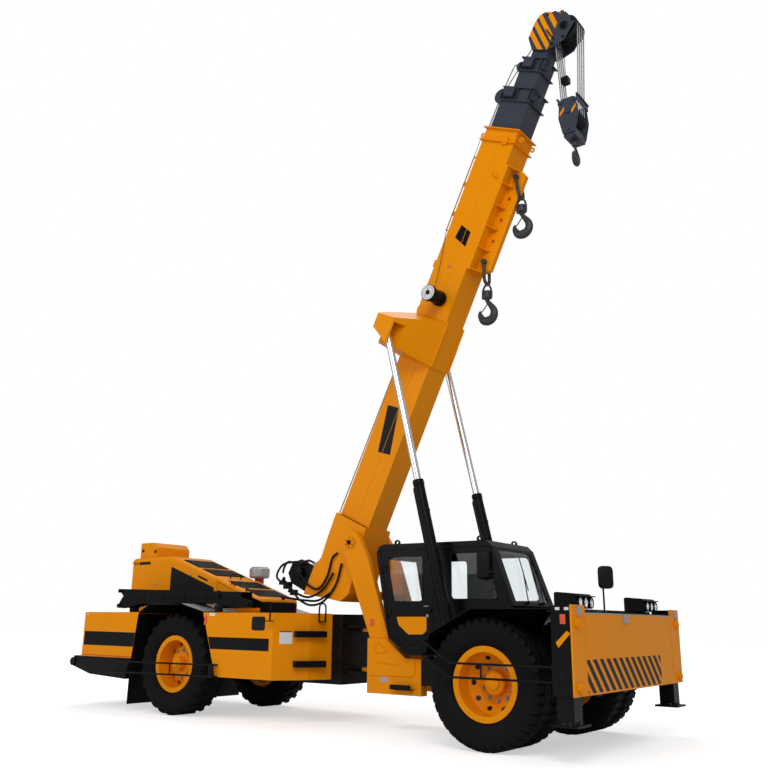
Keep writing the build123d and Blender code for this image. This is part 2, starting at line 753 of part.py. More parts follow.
# Engine hood: hollow, level at the rear and sloping to the front
hood_ridge = (front_axle_x - 5630, 2062)
hood_front = (front_axle_x - 3835, 1455)
hood_rear_x = front_axle_x - 6500
hood_wall = 20
slope = atan2(hood_ridge[1] - hood_front[1], hood_front[0] - hood_ridge[0])
slope_length = hypot(hood_front[0] - hood_ridge[0], hood_ridge[1] - hood_front[1])
slope_plane = Plane(
    origin=(hood_ridge[0], 0, hood_ridge[1]),
    x_dir=(cos(slope), 0, -sin(slope)),
    z_dir=(sin(slope), 0, cos(slope)),
)
vent_half_w = 290
vent_rows = (250, 560, 950, 1260)
vent_length = 170
with BuildPart() as hood:
    hood_outline = (
        (hood_rear_x, deck_rear_z),
        (hood_rear_x, 2055),
        hood_ridge,
        hood_front,
        (hood_front[0], deck_rear_z),
    )
    hood_inside = (
        (hood_rear_x + hood_wall, deck_rear_z - 1),
        (hood_rear_x + hood_wall, 2055 - hood_wall),
        (hood_ridge[0] - 4, hood_ridge[1] - hood_wall),
        (hood_front[0] - hood_wall, hood_front[1] - hood_wall - 4),
        (hood_front[0] - hood_wall, deck_rear_z - 1),
    )
    side_prism(hood_outline, (-hood_half_w, hood_half_w))
    side_prism(hood_inside, (hood_wall - hood_half_w, hood_half_w - hood_wall), Mode.SUBTRACT)
    for row in vent_rows:
        vent = (
            (row, -vent_half_w),
            (row + vent_length, -vent_half_w),
            (row + vent_length, vent_half_w),
            (row, vent_half_w),
        )
        prism(slope_plane.offset(-40), vent, 80, Mode.SUBTRACT)
    mesh_opening = (
        (hood_ridge[0] + 60, 1560),
        (hood_ridge[0] + 1000, 1560),
        (hood_ridge[0] + 1000, 1640),
        (hood_ridge[0] + 60, 1900),
    )
    side_prism(mesh_opening, (-hood_half_w - 1, hood_half_w + 1), Mode.SUBTRACT)
    grille_z = (deck_rear_z + 20, hood_front[1] - 40)
    brick((hood_front[0] - 60, hood_front[0] + 1), (-340, 340), grille_z, Mode.SUBTRACT)
    # The raised box over the radiator
    top_box = (
        (front_axle_x - 6420, 2045),
        (front_axle_x - 6050, 2050),
        (front_axle_x - 6050, 2210),
        (front_axle_x - 6130, 2285),
        (front_axle_x - 6420, 2285),
    )
    side_prism(top_box, (-320, 320))

# Black slats and meshes that fill the openings of the hood
with BuildPart() as hood_grilles:
    for row in vent_rows:
        panel = (
            (row, -vent_half_w),
            (row + vent_length, -vent_half_w),
            (row + vent_length, vent_half_w),
            (row, vent_half_w),
        )
        prism(slope_plane.offset(-14), panel, 8)
    for y in ((-hood_half_w + 6, 14 - hood_half_w), (hood_half_w - 14, hood_half_w - 6)):
        side_prism(mesh_opening, y)
    brick((hood_front[0] - 14, hood_front[0] - 6), (-340, 340), grille_z)

with BuildPart() as engine:
    brick((front_axle_x - 5380, front_axle_x - 4280), (-300, 300), (1000 + seat_gap, 1540))

with BuildPart() as pre_cleaner:
    cleaner = (front_axle_x - 4740, 500)
    disc_z(cleaner[0], cleaner[1], (fender_top_z + seat_gap, 1790), 45)
    disc_z(cleaner[0], cleaner[1], (1790, 1900), 95)
    disc_z(cleaner[0], cleaner[1], (1900, 1930), 80)

# Rear fenders: bent sheets over the tyres, with mudflaps behind them
with BuildPart() as rear_fenders:
    for side in (-1, 1):
        arch = (
            (front_axle_x - 5420 + seat_gap, deck_rear_z),
            (front_axle_x - 5220, fender_top_z),
            (front_axle_x - 4560, fender_top_z),
            (front_axle_x - 4140, deck_rear_z + 12),
            (front_axle_x - 4140, deck_rear_z + seat_gap),
            (front_axle_x - 4160, deck_rear_z + seat_gap),
            (front_axle_x - 4565, fender_top_z - sheet),
            (front_axle_x - 5215, fender_top_z - sheet),
            (front_axle_x - 5400, deck_rear_z - 12),
            (front_axle_x - 5420 + seat_gap, deck_rear_z - 12),
        )
        side_prism(arch, span(side, hood_half_w + seat_gap, rear_half_w))
        inner_wall = (
            (front_axle_x - 5390, beam_high_z + seat_gap),
            (front_axle_x - 5390, deck_rear_z - 8),
            (front_axle_x - 5215, fender_top_z - sheet),
            (front_axle_x - 4565, fender_top_z - sheet),
            (front_axle_x - 4160, deck_rear_z + seat_gap),
            (front_axle_x - 4160, beam_high_z + seat_gap),
        )
        side_prism(inner_wall, span(side, hood_half_w + seat_gap, hood_half_w + 12))
        flap = (front_axle_x - 5540, front_axle_x - 5532)
        brick(flap, span(side, 600, rear_half_w - 20), (90, 670 - seat_gap))

with BuildPart() as rear_rails:
    for side in (-1, 1):
        y = side * (rear_half_w + 60)
        for z in (635, 500):
            path = (
                (front_axle_x - 5850, side * (rear_half_w - 20), z - 10),
                (front_axle_x - 5850, y, z - 10),
                (front_axle_x - 3840, y, z + 10),
                (front_axle_x - 3840, side * rear_half_w, z + 10),
            )
            pipe(path, rail_r)
        for x in (-5000, -4640):
            disc_z(front_axle_x + x, y, (500, 635), 9)

# Fly jib stowed on the right side: a tapered lattice arm with a fork
jib_y = (-850, -650)
jib_low_z = 1420
with BuildPart() as fly_jib:
    jib = (
        (front_axle_x - 6200, 1600),
        (front_axle_x - 3780, 1540),
        (front_axle_x - 3480, 1430),
        (front_axle_x - 3480, 1370),
        (front_axle_x - 6000, 1450),
        (front_axle_x - 6260, 1420),
        (front_axle_x - 6120, 1510),
    )
    side_prism(jib, jib_y)
    # Stands on the fender's top and on the counterweight
    for x, z in ((-4800, fender_top_z), (-5900, deck_rear_z)):
        stand_y = (jib_y[0] + 50, jib_y[1] - 50)
        brick((front_axle_x + x - 40, front_axle_x + x + 40), stand_y, (z + seat_gap, jib_low_z + 40))

# Boom heel and base section, with the winch bracket, wings, hook fin and collar
heel_half_w = 262
heel_outline = (
    (base_start_s, base_low_n - 15),
    (base_start_s, base_high_n + 25),
    (-90, 440),
    (-370, 420),
    (-520, 480),
    (-900, 480),
    (-780, 90),
    (-730, -110),
    (-590, -190),
    (-150, -130),
)
heel_hollow = (
    (base_start_s + 1, base_low_n + 10),
    (base_start_s + 1, base_high_n - 10),
    (-90, 410),
    (-370, 390),
    (-520, 450),
    (-700, 450),
    (-740, 90),
    (-690, -90),
    (-580, -160),
    (-150, -100),
)
wing_low_s = 2390
wing_high_s = 2990
wing_end_y = 750
slot_in_y = cylinder_y - 70
slot_out_y = cylinder_y + 66
fin_half_t = 35
fin_low_n = -300
fin_plate_n = base_low_n - 38
fin_first_s = 3855
fin_pitch = 284
fin_stations = tuple(fin_first_s + fin_pitch * k for k in range(5))
fin_hole_n = fin_low_n + 115
fin_pin_r = 24
fin_start_s = fin_first_s - 155
fin_end_s = fin_stations[-1] + 94
with BuildPart() as boom_base:
    hollow_section((base_start_s, base_end_s), (base_low_n, base_high_n), base_half_w, base_wall)
    boom_prism(heel_outline, (-heel_half_w, heel_half_w))
    boom_prism(heel_hollow, (25 - heel_half_w, heel_half_w - 25), Mode.SUBTRACT)
    boom_disc(0, 0, (-heel_half_w, heel_half_w), 90)
    # Journals in the support arms
    for side in (-1, 1):
        pin_y = span(side, heel_half_w, arm_out_y + 22)
        boom_disc(0, 0, pin_y, pivot_pin_r - running_gap)
        boom_disc(0, 0, span(side, heel_half_w, frame_in_y - seat_gap), 110)
    # Head collar with two flanges and ears below
    for s in (base_end_s - 180, base_end_s - 14):
        boom_box((s, s + 14), (base_low_n - 35, base_high_n + 30), (-base_half_w - 35, base_half_w + 35))
    boom_box((base_end_s - 190, base_end_s + 10), (base_low_n, base_high_n), (-base_half_w, base_half_w), Mode.SUBTRACT)
    hollow_section((base_end_s - 200, base_end_s), (base_low_n, base_high_n), base_half_w, base_wall)
    # Wings that carry the lift cylinders' rod eyes
    for side in (-1, 1):
        wing_plan = (
            (wing_low_s, side * (base_half_w - 5)),
            (wing_low_s + 80, side * wing_end_y),
            (wing_high_s - 200, side * wing_end_y),
            (wing_high_s, side * (base_half_w - 5)),
        )
        plane = Plane(origin=on_boom(0, -100), x_dir=along, z_dir=out_of_back)
        with BuildPart(mode=Mode.PRIVATE) as wing:
            prism(plane, wing_plan, 720)
            low = (base_low_n - 12, 290)
            cross = (
                (side * 0, low[0] - 100),
                (side * base_half_w, low[0] - 100),
                (side * base_half_w, low[0]),
                (side * wing_end_y, low[1]),
                (side * wing_end_y, 560),
                (side * slot_in_y, 560),
                (side * base_half_w, base_high_n),
                (side * 0, base_high_n),
            )
            station = Plane(origin=on_boom(2000, 0), x_dir=(0, 1, 0), z_dir=along)
            prism(station, cross, 1400, Mode.INTERSECT)
            cut_y = span(side, slot_in_y, slot_out_y)
            boom_box((2200, 2742), (-200, 530), cut_y, Mode.SUBTRACT)
            heel_cut = ((2443, 250), (2611, 571), (2300, 571), (2300, 250))
            boom_prism(heel_cut, span(side, slot_in_y - 34, wing_end_y + 1), Mode.SUBTRACT)
        add(wing.part)
    boom_box(
        (wing_low_s - 5, wing_high_s + 5),
        (base_low_n - 12, base_low_n),
        (-base_half_w, base_half_w),
    )
    inner = (base_low_n + base_wall, base_high_n - base_wall)
    boom_box((2300, 3100), inner, (base_wall - base_half_w, base_half_w - base_wall), Mode.SUBTRACT)
    # Fin below the boom on its own plate, with ribs and pin holes for the two plain hooks
    boom_box((fin_start_s, fin_end_s), (fin_plate_n, base_low_n), (-base_half_w, base_half_w))
    fin = (
        (fin_start_s + 20, fin_plate_n),
        (fin_start_s + 20, fin_low_n + 90),
        (fin_start_s + 70, fin_low_n),
        (fin_end_s - 50, fin_low_n),
        (fin_end_s - 5, fin_low_n + 70),
        (fin_end_s, fin_plate_n),
    )
    boom_prism(fin, (-fin_half_t, fin_half_t))
    rib_stations = [fin_first_s - fin_pitch / 2 + fin_pitch * k for k in range(5)] + [fin_end_s - 16]
    for s in rib_stations:
        for side in (-1, 1):
            plane = Plane(origin=on_boom(s, 0), x_dir=(0, 1, 0), z_dir=along)
            gusset = (
                (side * fin_half_t, fin_plate_n),
                (side * base_half_w, fin_plate_n),
                (side * base_half_w, fin_plate_n - 8),
                (side * fin_half_t, fin_low_n + 95),
            )
            prism(plane, gusset, 14)
    for s in fin_stations:
        boom_disc(s, fin_hole_n, (-fin_half_t - 1, fin_half_t + 1), fin_pin_r + running_gap, Mode.SUBTRACT)
    # Wear pads at the mouth for the next section
    pad_s = (base_end_s - 150, base_end_s - 20)

# Inner sections: name, low and high n, half width, wall, start, end of its tube
section_table = (
    ("two", -37, 397, 165, 10, 350, 6110),
    ("three", -15, 300, 140, 8, 470, 6530),
    ("four", 3, 235, 110, 8, 590, 6720),
)
collar_length = 190
with boom_base:
    low = base_low_n + base_wall
    boom_box(pad_s, (low, section_table[0][1] - seat_gap), (-120, 120))

head_sheave_s = 6967
head_sheave_n = -109
head_sheave_r = 165
head_half_w = 150
head_outline = (
    (6640, 235),
    (6785, 345),
    (7000, 335),
    (7100, 300),
    (7145, 235),
    (7150, -70),
    (7030, -235),
    (6790, -185),
    (6690, -70),
    (6640, 3),
)
sections = {}
for index, (name, low_n, high_n, half_w, wall, start, end) in enumerate(section_table):
    with BuildPart() as section:
        hollow_section((start, end), (low_n, high_n), half_w, wall)
        if name != "four":
            # Collar: two flanges at the mouth, and a pad for the next section
            for s in (end - collar_length, end - 14):
                flange_n = (low_n - 30, high_n + 25)
                boom_box((s, s + 14), flange_n, (-half_w - 28, half_w + 28))
            inner_n = (low_n + wall, high_n - wall)
            inner_y = (wall - half_w, half_w - wall)
            boom_box((end - collar_length - 1, end + 1), inner_n, inner_y, Mode.SUBTRACT)
            next_low = section_table[index + 1][1]
            pad_range = (end - 150, end - 20)
            boom_box(pad_range, (low_n + wall, next_low - seat_gap), (-half_w + 50, half_w - 50))
        else:
            # Head: two cheeks that carry the sheaves
            for side in (-1, 1):
                boom_prism(head_outline, span(side, head_half_w - 14, head_half_w))
            boom_box((6640, 6700), (3, 235), (-head_half_w, head_half_w))
            boom_box((7090, 7120), (120, 235), (-head_half_w, head_half_w))
            boom_disc(head_sheave_s, head_sheave_n, (-head_half_w - 12, head_half_w + 12), 28)
    sections[name] = section

with BuildPart() as head_sheaves:
    for y in (-90, -30, 30, 90):
        boom_disc(head_sheave_s, head_sheave_n, (y - 22, y + 22), head_sheave_r)
    boom_disc(head_sheave_s, head_sheave_n, (-134, 134), 60)
    boom_disc(head_sheave_s, head_sheave_n, (-136, 136), 28 + running_gap, Mode.SUBTRACT)

# Winch at the heel's tail
winch_s = -705
winch_n = 700
drum_r = 110
winch_half_w = 190
with BuildPart() as winch_frame:
    for side in (-1, 1):
        cheek = (
            (-880, 480 + seat_gap),
            (-530, 480 + seat_gap),
            (-540, 760),
            (-640, 880),
            (-790, 890),
            (-880, 780),
        )
        boom_prism(cheek, span(side, winch_half_w, winch_half_w + 20))
        boom_disc(winch_s, winch_n, span(side, 120, winch_half_w), 40)
    boom_disc(winch_s, winch_n, span(1, winch_half_w + 20, 300), 95)

with BuildPart() as winch_drum:
    boom_disc(winch_s, winch_n, (-160, 160), drum_r)
    for side in (-1, 1):
        boom_disc(winch_s, winch_n, span(side, 160, 180), 170)
        boom_disc(winch_s, winch_n, span(side, 110, 181), 40 + running_gap, Mode.SUBTRACT)

# Reel of the length cable, on the near side of the boom: dial, drum and back flange
reel_s = 3235
reel_n = 141
reel_steps = ((297, 250, 102), (250, 70, 88), (70, 22, 98), (22, seat_gap, 70))
with BuildPart() as length_reel:
    for far, near, r in reel_steps:
        boom_disc(reel_s, reel_n, (-base_half_w - far, -base_half_w - near), r)

# Hook block: cheeks, sheaves, the falls up to the head, and the swivel hook
block_x = on_boom(head_sheave_s, head_sheave_n).X
fall_top_z = on_boom(head_sheave_s, head_sheave_n).Z
block_drop = 1230
block_z = fall_top_z - block_drop
fall_r = 9


def hook_shape(x, z, r, half_t):
    """A hook with its latch in the xz plane: round bowl, tip to the rear, neck above."""
    plane = Plane(origin=(x, half_t, z), x_dir=(1, 0, 0), z_dir=(0, -1, 0))
    with BuildSketch(plane) as outline:
        Circle(r)
        with BuildLine():
            Polyline((-0.15 * r, 1.35 * r), (0.20 * r, 1.35 * r), (0.82 * r, 0.57 * r), (0, 0), (-0.15 * r, 0), close=True)
        make_face()
        with Locations((-0.01 * r, 0.08 * r)):
            Circle(0.30 * r, mode=Mode.SUBTRACT)
        with BuildLine():
            Polyline(
                (-0.31 * r, 0.08 * r),
                (-0.42 * r, 0.38 * r),
                (-1.1 * r, 0.38 * r),
                (-1.1 * r, 1.1 * r),
                (-0.16 * r, 1.1 * r),
                (-0.10 * r, 0.85 * r),
                (0.22 * r, 0.35 * r),
                (0.27 * r, 0.08 * r),
                close=True,
            )
        make_face(mode=Mode.SUBTRACT)
    extrude(outline.sketch, amount=2 * half_t)
    latch = (
        (x - 0.12 * r, z + 0.95 * r),
        (x - 0.12 * r, z + 0.86 * r),
        (x - 0.42 * r, z + 0.30 * r),
        (x - 0.48 * r, z + 0.36 * r),
        (x - 0.20 * r, z + 0.95 * r),
    )
    side_prism(latch, (-0.45 * half_t, 0.45 * half_t))


block_hook_r = 110
with BuildPart() as hook_block:
    for side in (-1, 1):
        cheek = (
            (block_x - 215, block_z - 70),
            (block_x - 200, block_z + 180),
            (block_x - 120, block_z + 250),
            (block_x + 120, block_z + 250),
            (block_x + 200, block_z + 180),
            (block_x + 215, block_z - 70),
            (block_x + 100, block_z - 390),
            (block_x - 100, block_z - 390),
        )
        side_prism(cheek, span(side, 100, 130))
        for fall in (-1, 1):
            x = block_x + fall * (head_sheave_r + fall_r + seat_gap)
            disc_z(x, side * 30, (block_z, fall_top_z), fall_r)
    disc_y(block_x, block_z, (-100, 100), head_sheave_r + fall_r)
    brick((block_x - 90, block_x + 90), (-100, 100), (block_z - 410, block_z - 290))
    disc_z(block_x, 0, (block_z - 460, block_z - 410), 38)
    hook_shape(block_x, block_z - 590, block_hook_r, 30)

# Plain hooks on the fin: shackle, bail, swivel and hook in one hanging piece.
# The upper one's shackle leans on the fin's edge, so its hook hangs forward of its pin.
plain_hook_r = 145
plain_hooks = {}
for name, station, lean in (("lower", fin_stations[0], 0), ("upper", fin_stations[-1], 30)):
    pin = on_boom(station, fin_hole_n)
    hang_x = pin.X + lean
    with BuildPart() as plain_hook:
        disc_y(pin.X, pin.Z, (-84, 84), fin_pin_r)
        for side in (-1, 1):
            disc_y(pin.X, pin.Z, span(side, 46, 78), 36)
        bow = (
            (pin.X, -62, pin.Z),
            (pin.X + 0.9 * lean, -62, pin.Z - 238),
            (hang_x, -30, pin.Z - 272),
            (hang_x, 30, pin.Z - 272),
            (pin.X + 0.9 * lean, 62, pin.Z - 238),
            (pin.X, 62, pin.Z),
        )
        pipe(bow, 15)
        disc_z(hang_x, 0, (pin.Z - 296, pin.Z - 268), 22)
        bail = (
            (hang_x, 0, pin.Z - 284),
            (hang_x - 60, 0, pin.Z - 372),
            (hang_x - 60, 0, pin.Z - 470),
        )
        pipe(bail, 9)
        pipe([(2 * hang_x - x, y, z) for x, y, z in bail], 9)
        disc_z(hang_x, 0, (pin.Z - 480, pin.Z - 375), 52)
        disc_z(hang_x, 0, (pin.Z - 470, pin.Z - 445), 60)
        disc_z(hang_x, 0, (pin.Z - 500, pin.Z - 478), 30)
        hook_shape(hang_x, pin.Z - 670, plain_hook_r, 34)
    plain_hooks[name] = plain_hook

# Lift cylinders: barrel from its foot pin, rod up to the eye in the wing
barrels = {}
rods = {}
for name, side in sides.items():
    foot = Vector(cylinder_foot_x, side * cylinder_y, cylinder_foot_z)
    eye = on_boom(eye_s, eye_n, side * cylinder_y)
    axis = (eye - foot).normalized()
    line = Plane(origin=foot, x_dir=(0, 1, 0), z_dir=axis)
    eye_y = span(side, cylinder_y - barrel_eye_half_w, cylinder_y + barrel_eye_half_w)
    with BuildPart() as barrel:
        disc_y(foot.X, foot.Z, eye_y, eye_r)
        with BuildSketch(line.offset(40)) as neck:
            Circle(barrel_eye_half_w - 2)
        extrude(neck.sketch, amount=60)
        with BuildSketch(line.offset(barrel_start)) as ring:
            Circle(barrel_r)
        extrude(ring.sketch, amount=barrel_length - barrel_start)
        with BuildSketch(line.offset(barrel_start + 15)) as bore:
            Circle(rod_r + running_gap)
        extrude(bore.sketch, amount=barrel_length, mode=Mode.SUBTRACT)
        disc_y(foot.X, foot.Z, (eye_y[0] - 1, eye_y[1] + 1), 28 + running_gap, Mode.SUBTRACT)
    barrels[name] = barrel
    rod_end = (eye - foot).length
    with BuildPart() as rod:
        with BuildSketch(line.offset(barrel_length - rod_engagement)) as ring:
            Circle(rod_r)
        extrude(ring.sketch, amount=rod_end - barrel_length + rod_engagement)
        disc_y(eye.X, eye.Z, span(side, cylinder_y - 55, cylinder_y + 52), eye_r)
    rods[name] = rod

# Every finished piece, by the name of its file
finished = {
    "front_chassis": front_chassis,
    "boom_supports": boom_supports,
    "front_axle": front_axle,
    "rear_axle": rear_axle,
    "cab_shell": cab_shell,
    "cab_glass": cab_glass,
    "cab_door": cab_door,
    "door_glass": door_glass,
    "cab_seat": cab_seat,
    "cab_controls": cab_controls,
    "front_deck": front_deck,
    "front_plate": front_plate,
    "stabiliser_beam": stabiliser_beam,
    "lamp_boxes": lamp_boxes,
    "front_rails": front_rails,
    "mirrors": mirrors,
    "rear_frame": rear_frame,
    "counterweight": counterweight,
    "side_bodies": side_bodies,
    "hood": hood,
    "hood_grilles": hood_grilles,
    "engine": engine,
    "pre_cleaner": pre_cleaner,
    "rear_fenders": rear_fenders,
    "rear_rails": rear_rails,
    "fly_jib": fly_jib,
    "boom_base": boom_base,
    "head_sheaves": head_sheaves,
    "winch_frame": winch_frame,
    "winch_drum": winch_drum,
    "length_reel": length_reel,
    "hook_block": hook_block,
}
for name in sides:
    finished["front_tyre_" + name] = front_tyres[name]
    finished["front_rim_" + name] = front_rims[name]
    finished["rear_tyre_" + name] = rear_tyres[name]
    finished["rear_rim_" + name] = rear_rims[name]
    finished["stabiliser_leg_" + name] = stabiliser_legs[name]
    finished["cylinder_barrel_" + name] = barrels[name]
    finished["cylinder_rod_" + name] = rods[name]
for name, section in sections.items():
    finished["boom_section_" + name] = section
for name, plain_hook in plain_hooks.items():
    finished["plain_hook_" + name] = plain_hook
for name, piece in finished.items():
    piece.part.label = name
    export_step(piece.part, "parts/" + name + ".step")
print("lift cylinder angle", round(degrees(atan2(axis.Z, axis.X)), 2), "length", round(rod_end, 1))
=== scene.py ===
"""Looks of an articulated mobile crane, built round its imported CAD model.

Every length is in metres and every place is in the crane's own frame: X forward, Y to its left, Z up,
with the tyres on Z = 0 and the front axle FRONT_AXLE_X ahead of the origin. On the boom, s runs from
its pivot to its head and n out of its back.
"""

from __future__ import annotations

import json
import logging
import math
from dataclasses import dataclass, field
from enum import Enum
from typing import Iterator, Sequence

import bmesh
import bpy
import numpy as np
from mathutils import Matrix, Vector
from numpy.typing import NDArray


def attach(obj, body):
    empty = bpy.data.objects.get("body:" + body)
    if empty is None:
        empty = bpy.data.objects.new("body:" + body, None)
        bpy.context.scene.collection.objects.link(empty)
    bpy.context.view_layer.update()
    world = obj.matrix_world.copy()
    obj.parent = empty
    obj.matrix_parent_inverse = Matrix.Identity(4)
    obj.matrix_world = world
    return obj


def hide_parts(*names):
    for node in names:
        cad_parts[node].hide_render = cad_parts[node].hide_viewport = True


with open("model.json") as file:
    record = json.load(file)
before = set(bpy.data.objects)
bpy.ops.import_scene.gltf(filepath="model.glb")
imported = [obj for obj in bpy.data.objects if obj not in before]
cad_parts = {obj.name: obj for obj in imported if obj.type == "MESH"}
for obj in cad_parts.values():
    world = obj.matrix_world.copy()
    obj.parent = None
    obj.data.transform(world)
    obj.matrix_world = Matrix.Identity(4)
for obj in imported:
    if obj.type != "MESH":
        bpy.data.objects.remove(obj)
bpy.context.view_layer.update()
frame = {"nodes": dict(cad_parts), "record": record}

log = logging.getLogger("crane")

Array = NDArray[np.float64]
Faces = NDArray[np.int64]
Colour = tuple[float, float, float]
Points = Sequence[Sequence[float]]

FRONT_AXLE_X: float = 2.9
REAR_AXLE_X: float = -1.82
BOOM_ANGLE: float = math.radians(64.83)
PIVOT: Array = np.array([FRONT_AXLE_X - 2.352, 0.0, 2.121])
ALONG: Array = np.array([math.cos(BOOM_ANGLE), 0.0, math.sin(BOOM_ANGLE)])
BACK: Array = np.array([-math.sin(BOOM_ANGLE), 0.0, math.cos(BOOM_ANGLE)])
BASE_HALF_W: float = 0.193
X_DIR: Array = np.array([1.0, 0.0, 0.0])
Y_DIR: Array = np.array([0.0, 1.0, 0.0])
Z_DIR: Array = np.array([0.0, 0.0, 1.0])
PROUD: float = 0.0015


class Side(Enum):
    """The two sides of the crane, by the sign of y."""

    LEFT = 1
    RIGHT = -1

    @property
    def label(self) -> str:
        """The side's word in the CAD names."""
        return self.name.lower()


# Finishes


@dataclass(frozen=True)
class Grain:
    """A fine noise on a finish: how fine, how deep, and how far the roughness swings."""

    scale: float = 60.0
    bump: float = 0.05
    swing: float = 0.06


@dataclass(frozen=True)
class Finish:
    """One finish of the crane, made into a node material by its build method."""

    name: str
    colour: Colour
    roughness: float
    metallic: float = 0.0
    coat: float = 0.0
    spread: float = 0.06
    dust: float = 0.10
    wear: float = 0.0
    gloss: float = 0.30
    grain: Grain = field(default_factory=Grain)

    def build(self) -> bpy.types.Material:
        """Make the material, once.

        Returns:
            The material: its colour is mottled by a broad noise, scuffed by a sharper one and dusted
            near the ground, its roughness swings with a fine noise, and the finest one is its bump.
        """
        known = bpy.data.materials.get(self.name)
        if known is not None:
            return known
        made = bpy.data.materials.new(self.name)
        made.use_nodes = True
        tree = made.node_tree
        shader = tree.nodes["Principled BSDF"]
        self.set_shader(shader)
        place = tree.nodes.new("ShaderNodeTexCoord").outputs["Object"]
        broad = self.noise(tree, place, 1.7, 3.0)
        fine = self.noise(tree, place, self.grain.scale, 2.0)
        colour = self.mottled(tree, broad)
        colour = self.mixed(tree, colour, (0.20, 0.17, 0.14), self.dust_mask(tree, place, broad))
        if self.wear:
            colour = self.mixed(tree, colour, (0.30, 0.29, 0.28), self.wear_mask(tree, place))
        tree.links.new(colour, shader.inputs["Base Color"])
        rough = self.ranged(
            tree, fine, self.roughness - self.grain.swing, self.roughness + self.grain.swing
        )
        tree.links.new(rough, shader.inputs["Roughness"])
        bump = tree.nodes.new("ShaderNodeBump")
        bump.inputs["Strength"].default_value = self.grain.bump
        bump.inputs["Distance"].default_value = 0.002
        tree.links.new(self.height(tree, place, fine), bump.inputs["Height"])
        tree.links.new(bump.outputs["Normal"], shader.inputs["Normal"])
        return made

    def set_shader(self, shader: bpy.types.Node) -> None:
        """Set what is the same all over the surface."""
        shader.inputs["Metallic"].default_value = self.metallic
        shader.inputs["Specular IOR Level"].default_value = self.gloss
        shader.inputs["Coat Weight"].default_value = self.coat
        shader.inputs["Coat Roughness"].default_value = 0.08

    @staticmethod
    def noise(
        tree: bpy.types.NodeTree, place: bpy.types.NodeSocket, scale: float, detail: float
    ) -> bpy.types.NodeSocket:
        """Add a noise read at the piece's own place, and return its value."""
        node = tree.nodes.new("ShaderNodeTexNoise")
        node.inputs["Scale"].default_value = scale
        node.inputs["Detail"].default_value = detail
        tree.links.new(place, node.inputs["Vector"])
        return node.outputs["Fac"]

    @staticmethod
    def ranged(
        tree: bpy.types.NodeTree, value: bpy.types.NodeSocket, low: float, high: float, start: float = 0.0,
        end: float = 1.0
    ) -> bpy.types.NodeSocket:
        """Carry a value from start..end to low..high, low kept at 0 or more and high at 2 or less."""
        node = tree.nodes.new("ShaderNodeMapRange")
        node.inputs["From Min"].default_value = start
        node.inputs["From Max"].default_value = end
        node.inputs["To Min"].default_value = max(0.0, low)
        node.inputs["To Max"].default_value = min(2.0, high)
        tree.links.new(value, node.inputs["Value"])
        return node.outputs["Result"]

    def mottled(self, tree: bpy.types.NodeTree, broad: bpy.types.NodeSocket) -> bpy.types.NodeSocket:
        """The finish's colour times a factor that swings with the broad noise."""
        node = tree.nodes.new("ShaderNodeMix")
        node.data_type = "RGBA"
        node.blend_type = "MULTIPLY"
        node.inputs["Factor"].default_value = 1.0
        node.inputs["A"].default_value = (*self.colour, 1.0)
        tree.links.new(self.ranged(tree, broad, 1.0 - self.spread, 1.0 + self.spread), node.inputs["B"])
        return node.outputs["Result"]

    @staticmethod
    def mixed(
        tree: bpy.types.NodeTree, base: bpy.types.NodeSocket, other: Colour, mask: bpy.types.NodeSocket
    ) -> bpy.types.NodeSocket:
        """The base colour, with another one where the mask is high."""
        node = tree.nodes.new("ShaderNodeMix")
        node.data_type = "RGBA"
        node.inputs["B"].default_value = (*other, 1.0)
        tree.links.new(base, node.inputs["A"])
        tree.links.new(mask, node.inputs["Factor"])
        return node.outputs["Result"]

    def dust_mask(
        self, tree: bpy.types.NodeTree, place: bpy.types.NodeSocket, broad: bpy.types.NodeSocket
    ) -> bpy.types.NodeSocket:
        """Dust that is thickest at the ground and gone above the wheels, broken up by the broad noise."""
        split = tree.nodes.new("ShaderNodeSeparateXYZ")
        tree.links.new(place, split.inputs["Vector"])
        low = self.ranged(tree, split.outputs["Z"], 2.0 * self.dust, 0.0, 0.0, 1.3)
        return self.product(tree, low, broad)

    def wear_mask(self, tree: bpy.types.NodeTree, place: bpy.types.NodeSocket) -> bpy.types.NodeSocket:
        """Small scuffs where a sharp noise and a broad one are both high."""
        sharp = self.ranged(tree, self.noise(tree, place, 23.0, 6.0), 0.0, 1.0, 0.62, 0.70)
        where = self.ranged(tree, self.noise(tree, place, 2.6, 1.0), 0.0, self.wear, 0.45, 0.75)
        return self.product(tree, sharp, where)

    @staticmethod
    def product(
        tree: bpy.types.NodeTree, one: bpy.types.NodeSocket, other: bpy.types.NodeSocket
    ) -> bpy.types.NodeSocket:
        """Multiply two values."""
        node = tree.nodes.new("ShaderNodeMath")
        node.operation = "MULTIPLY"
        tree.links.new(one, node.inputs[0])
        tree.links.new(other, node.inputs[1])
        return node.outputs["Value"]

    def height(
        self, tree: bpy.types.NodeTree, place: bpy.types.NodeSocket, fine: bpy.types.NodeSocket
    ) -> bpy.types.NodeSocket:
        """The height that the bump reads: here the fine noise alone."""
        return fine


@dataclass(frozen=True)
class ClearFinish(Finish):
    """A clear sheet, tinted by its colour."""

    def set_shader(self, shader: bpy.types.Node) -> None:
        """Let light through, as thin glass does."""
        shader.inputs["Transmission Weight"].default_value = 1.0
        shader.inputs["IOR"].default_value = 1.12
        shader.inputs["Coat Weight"].default_value = 0.35
        shader.inputs["Coat Roughness"].default_value = 0.02


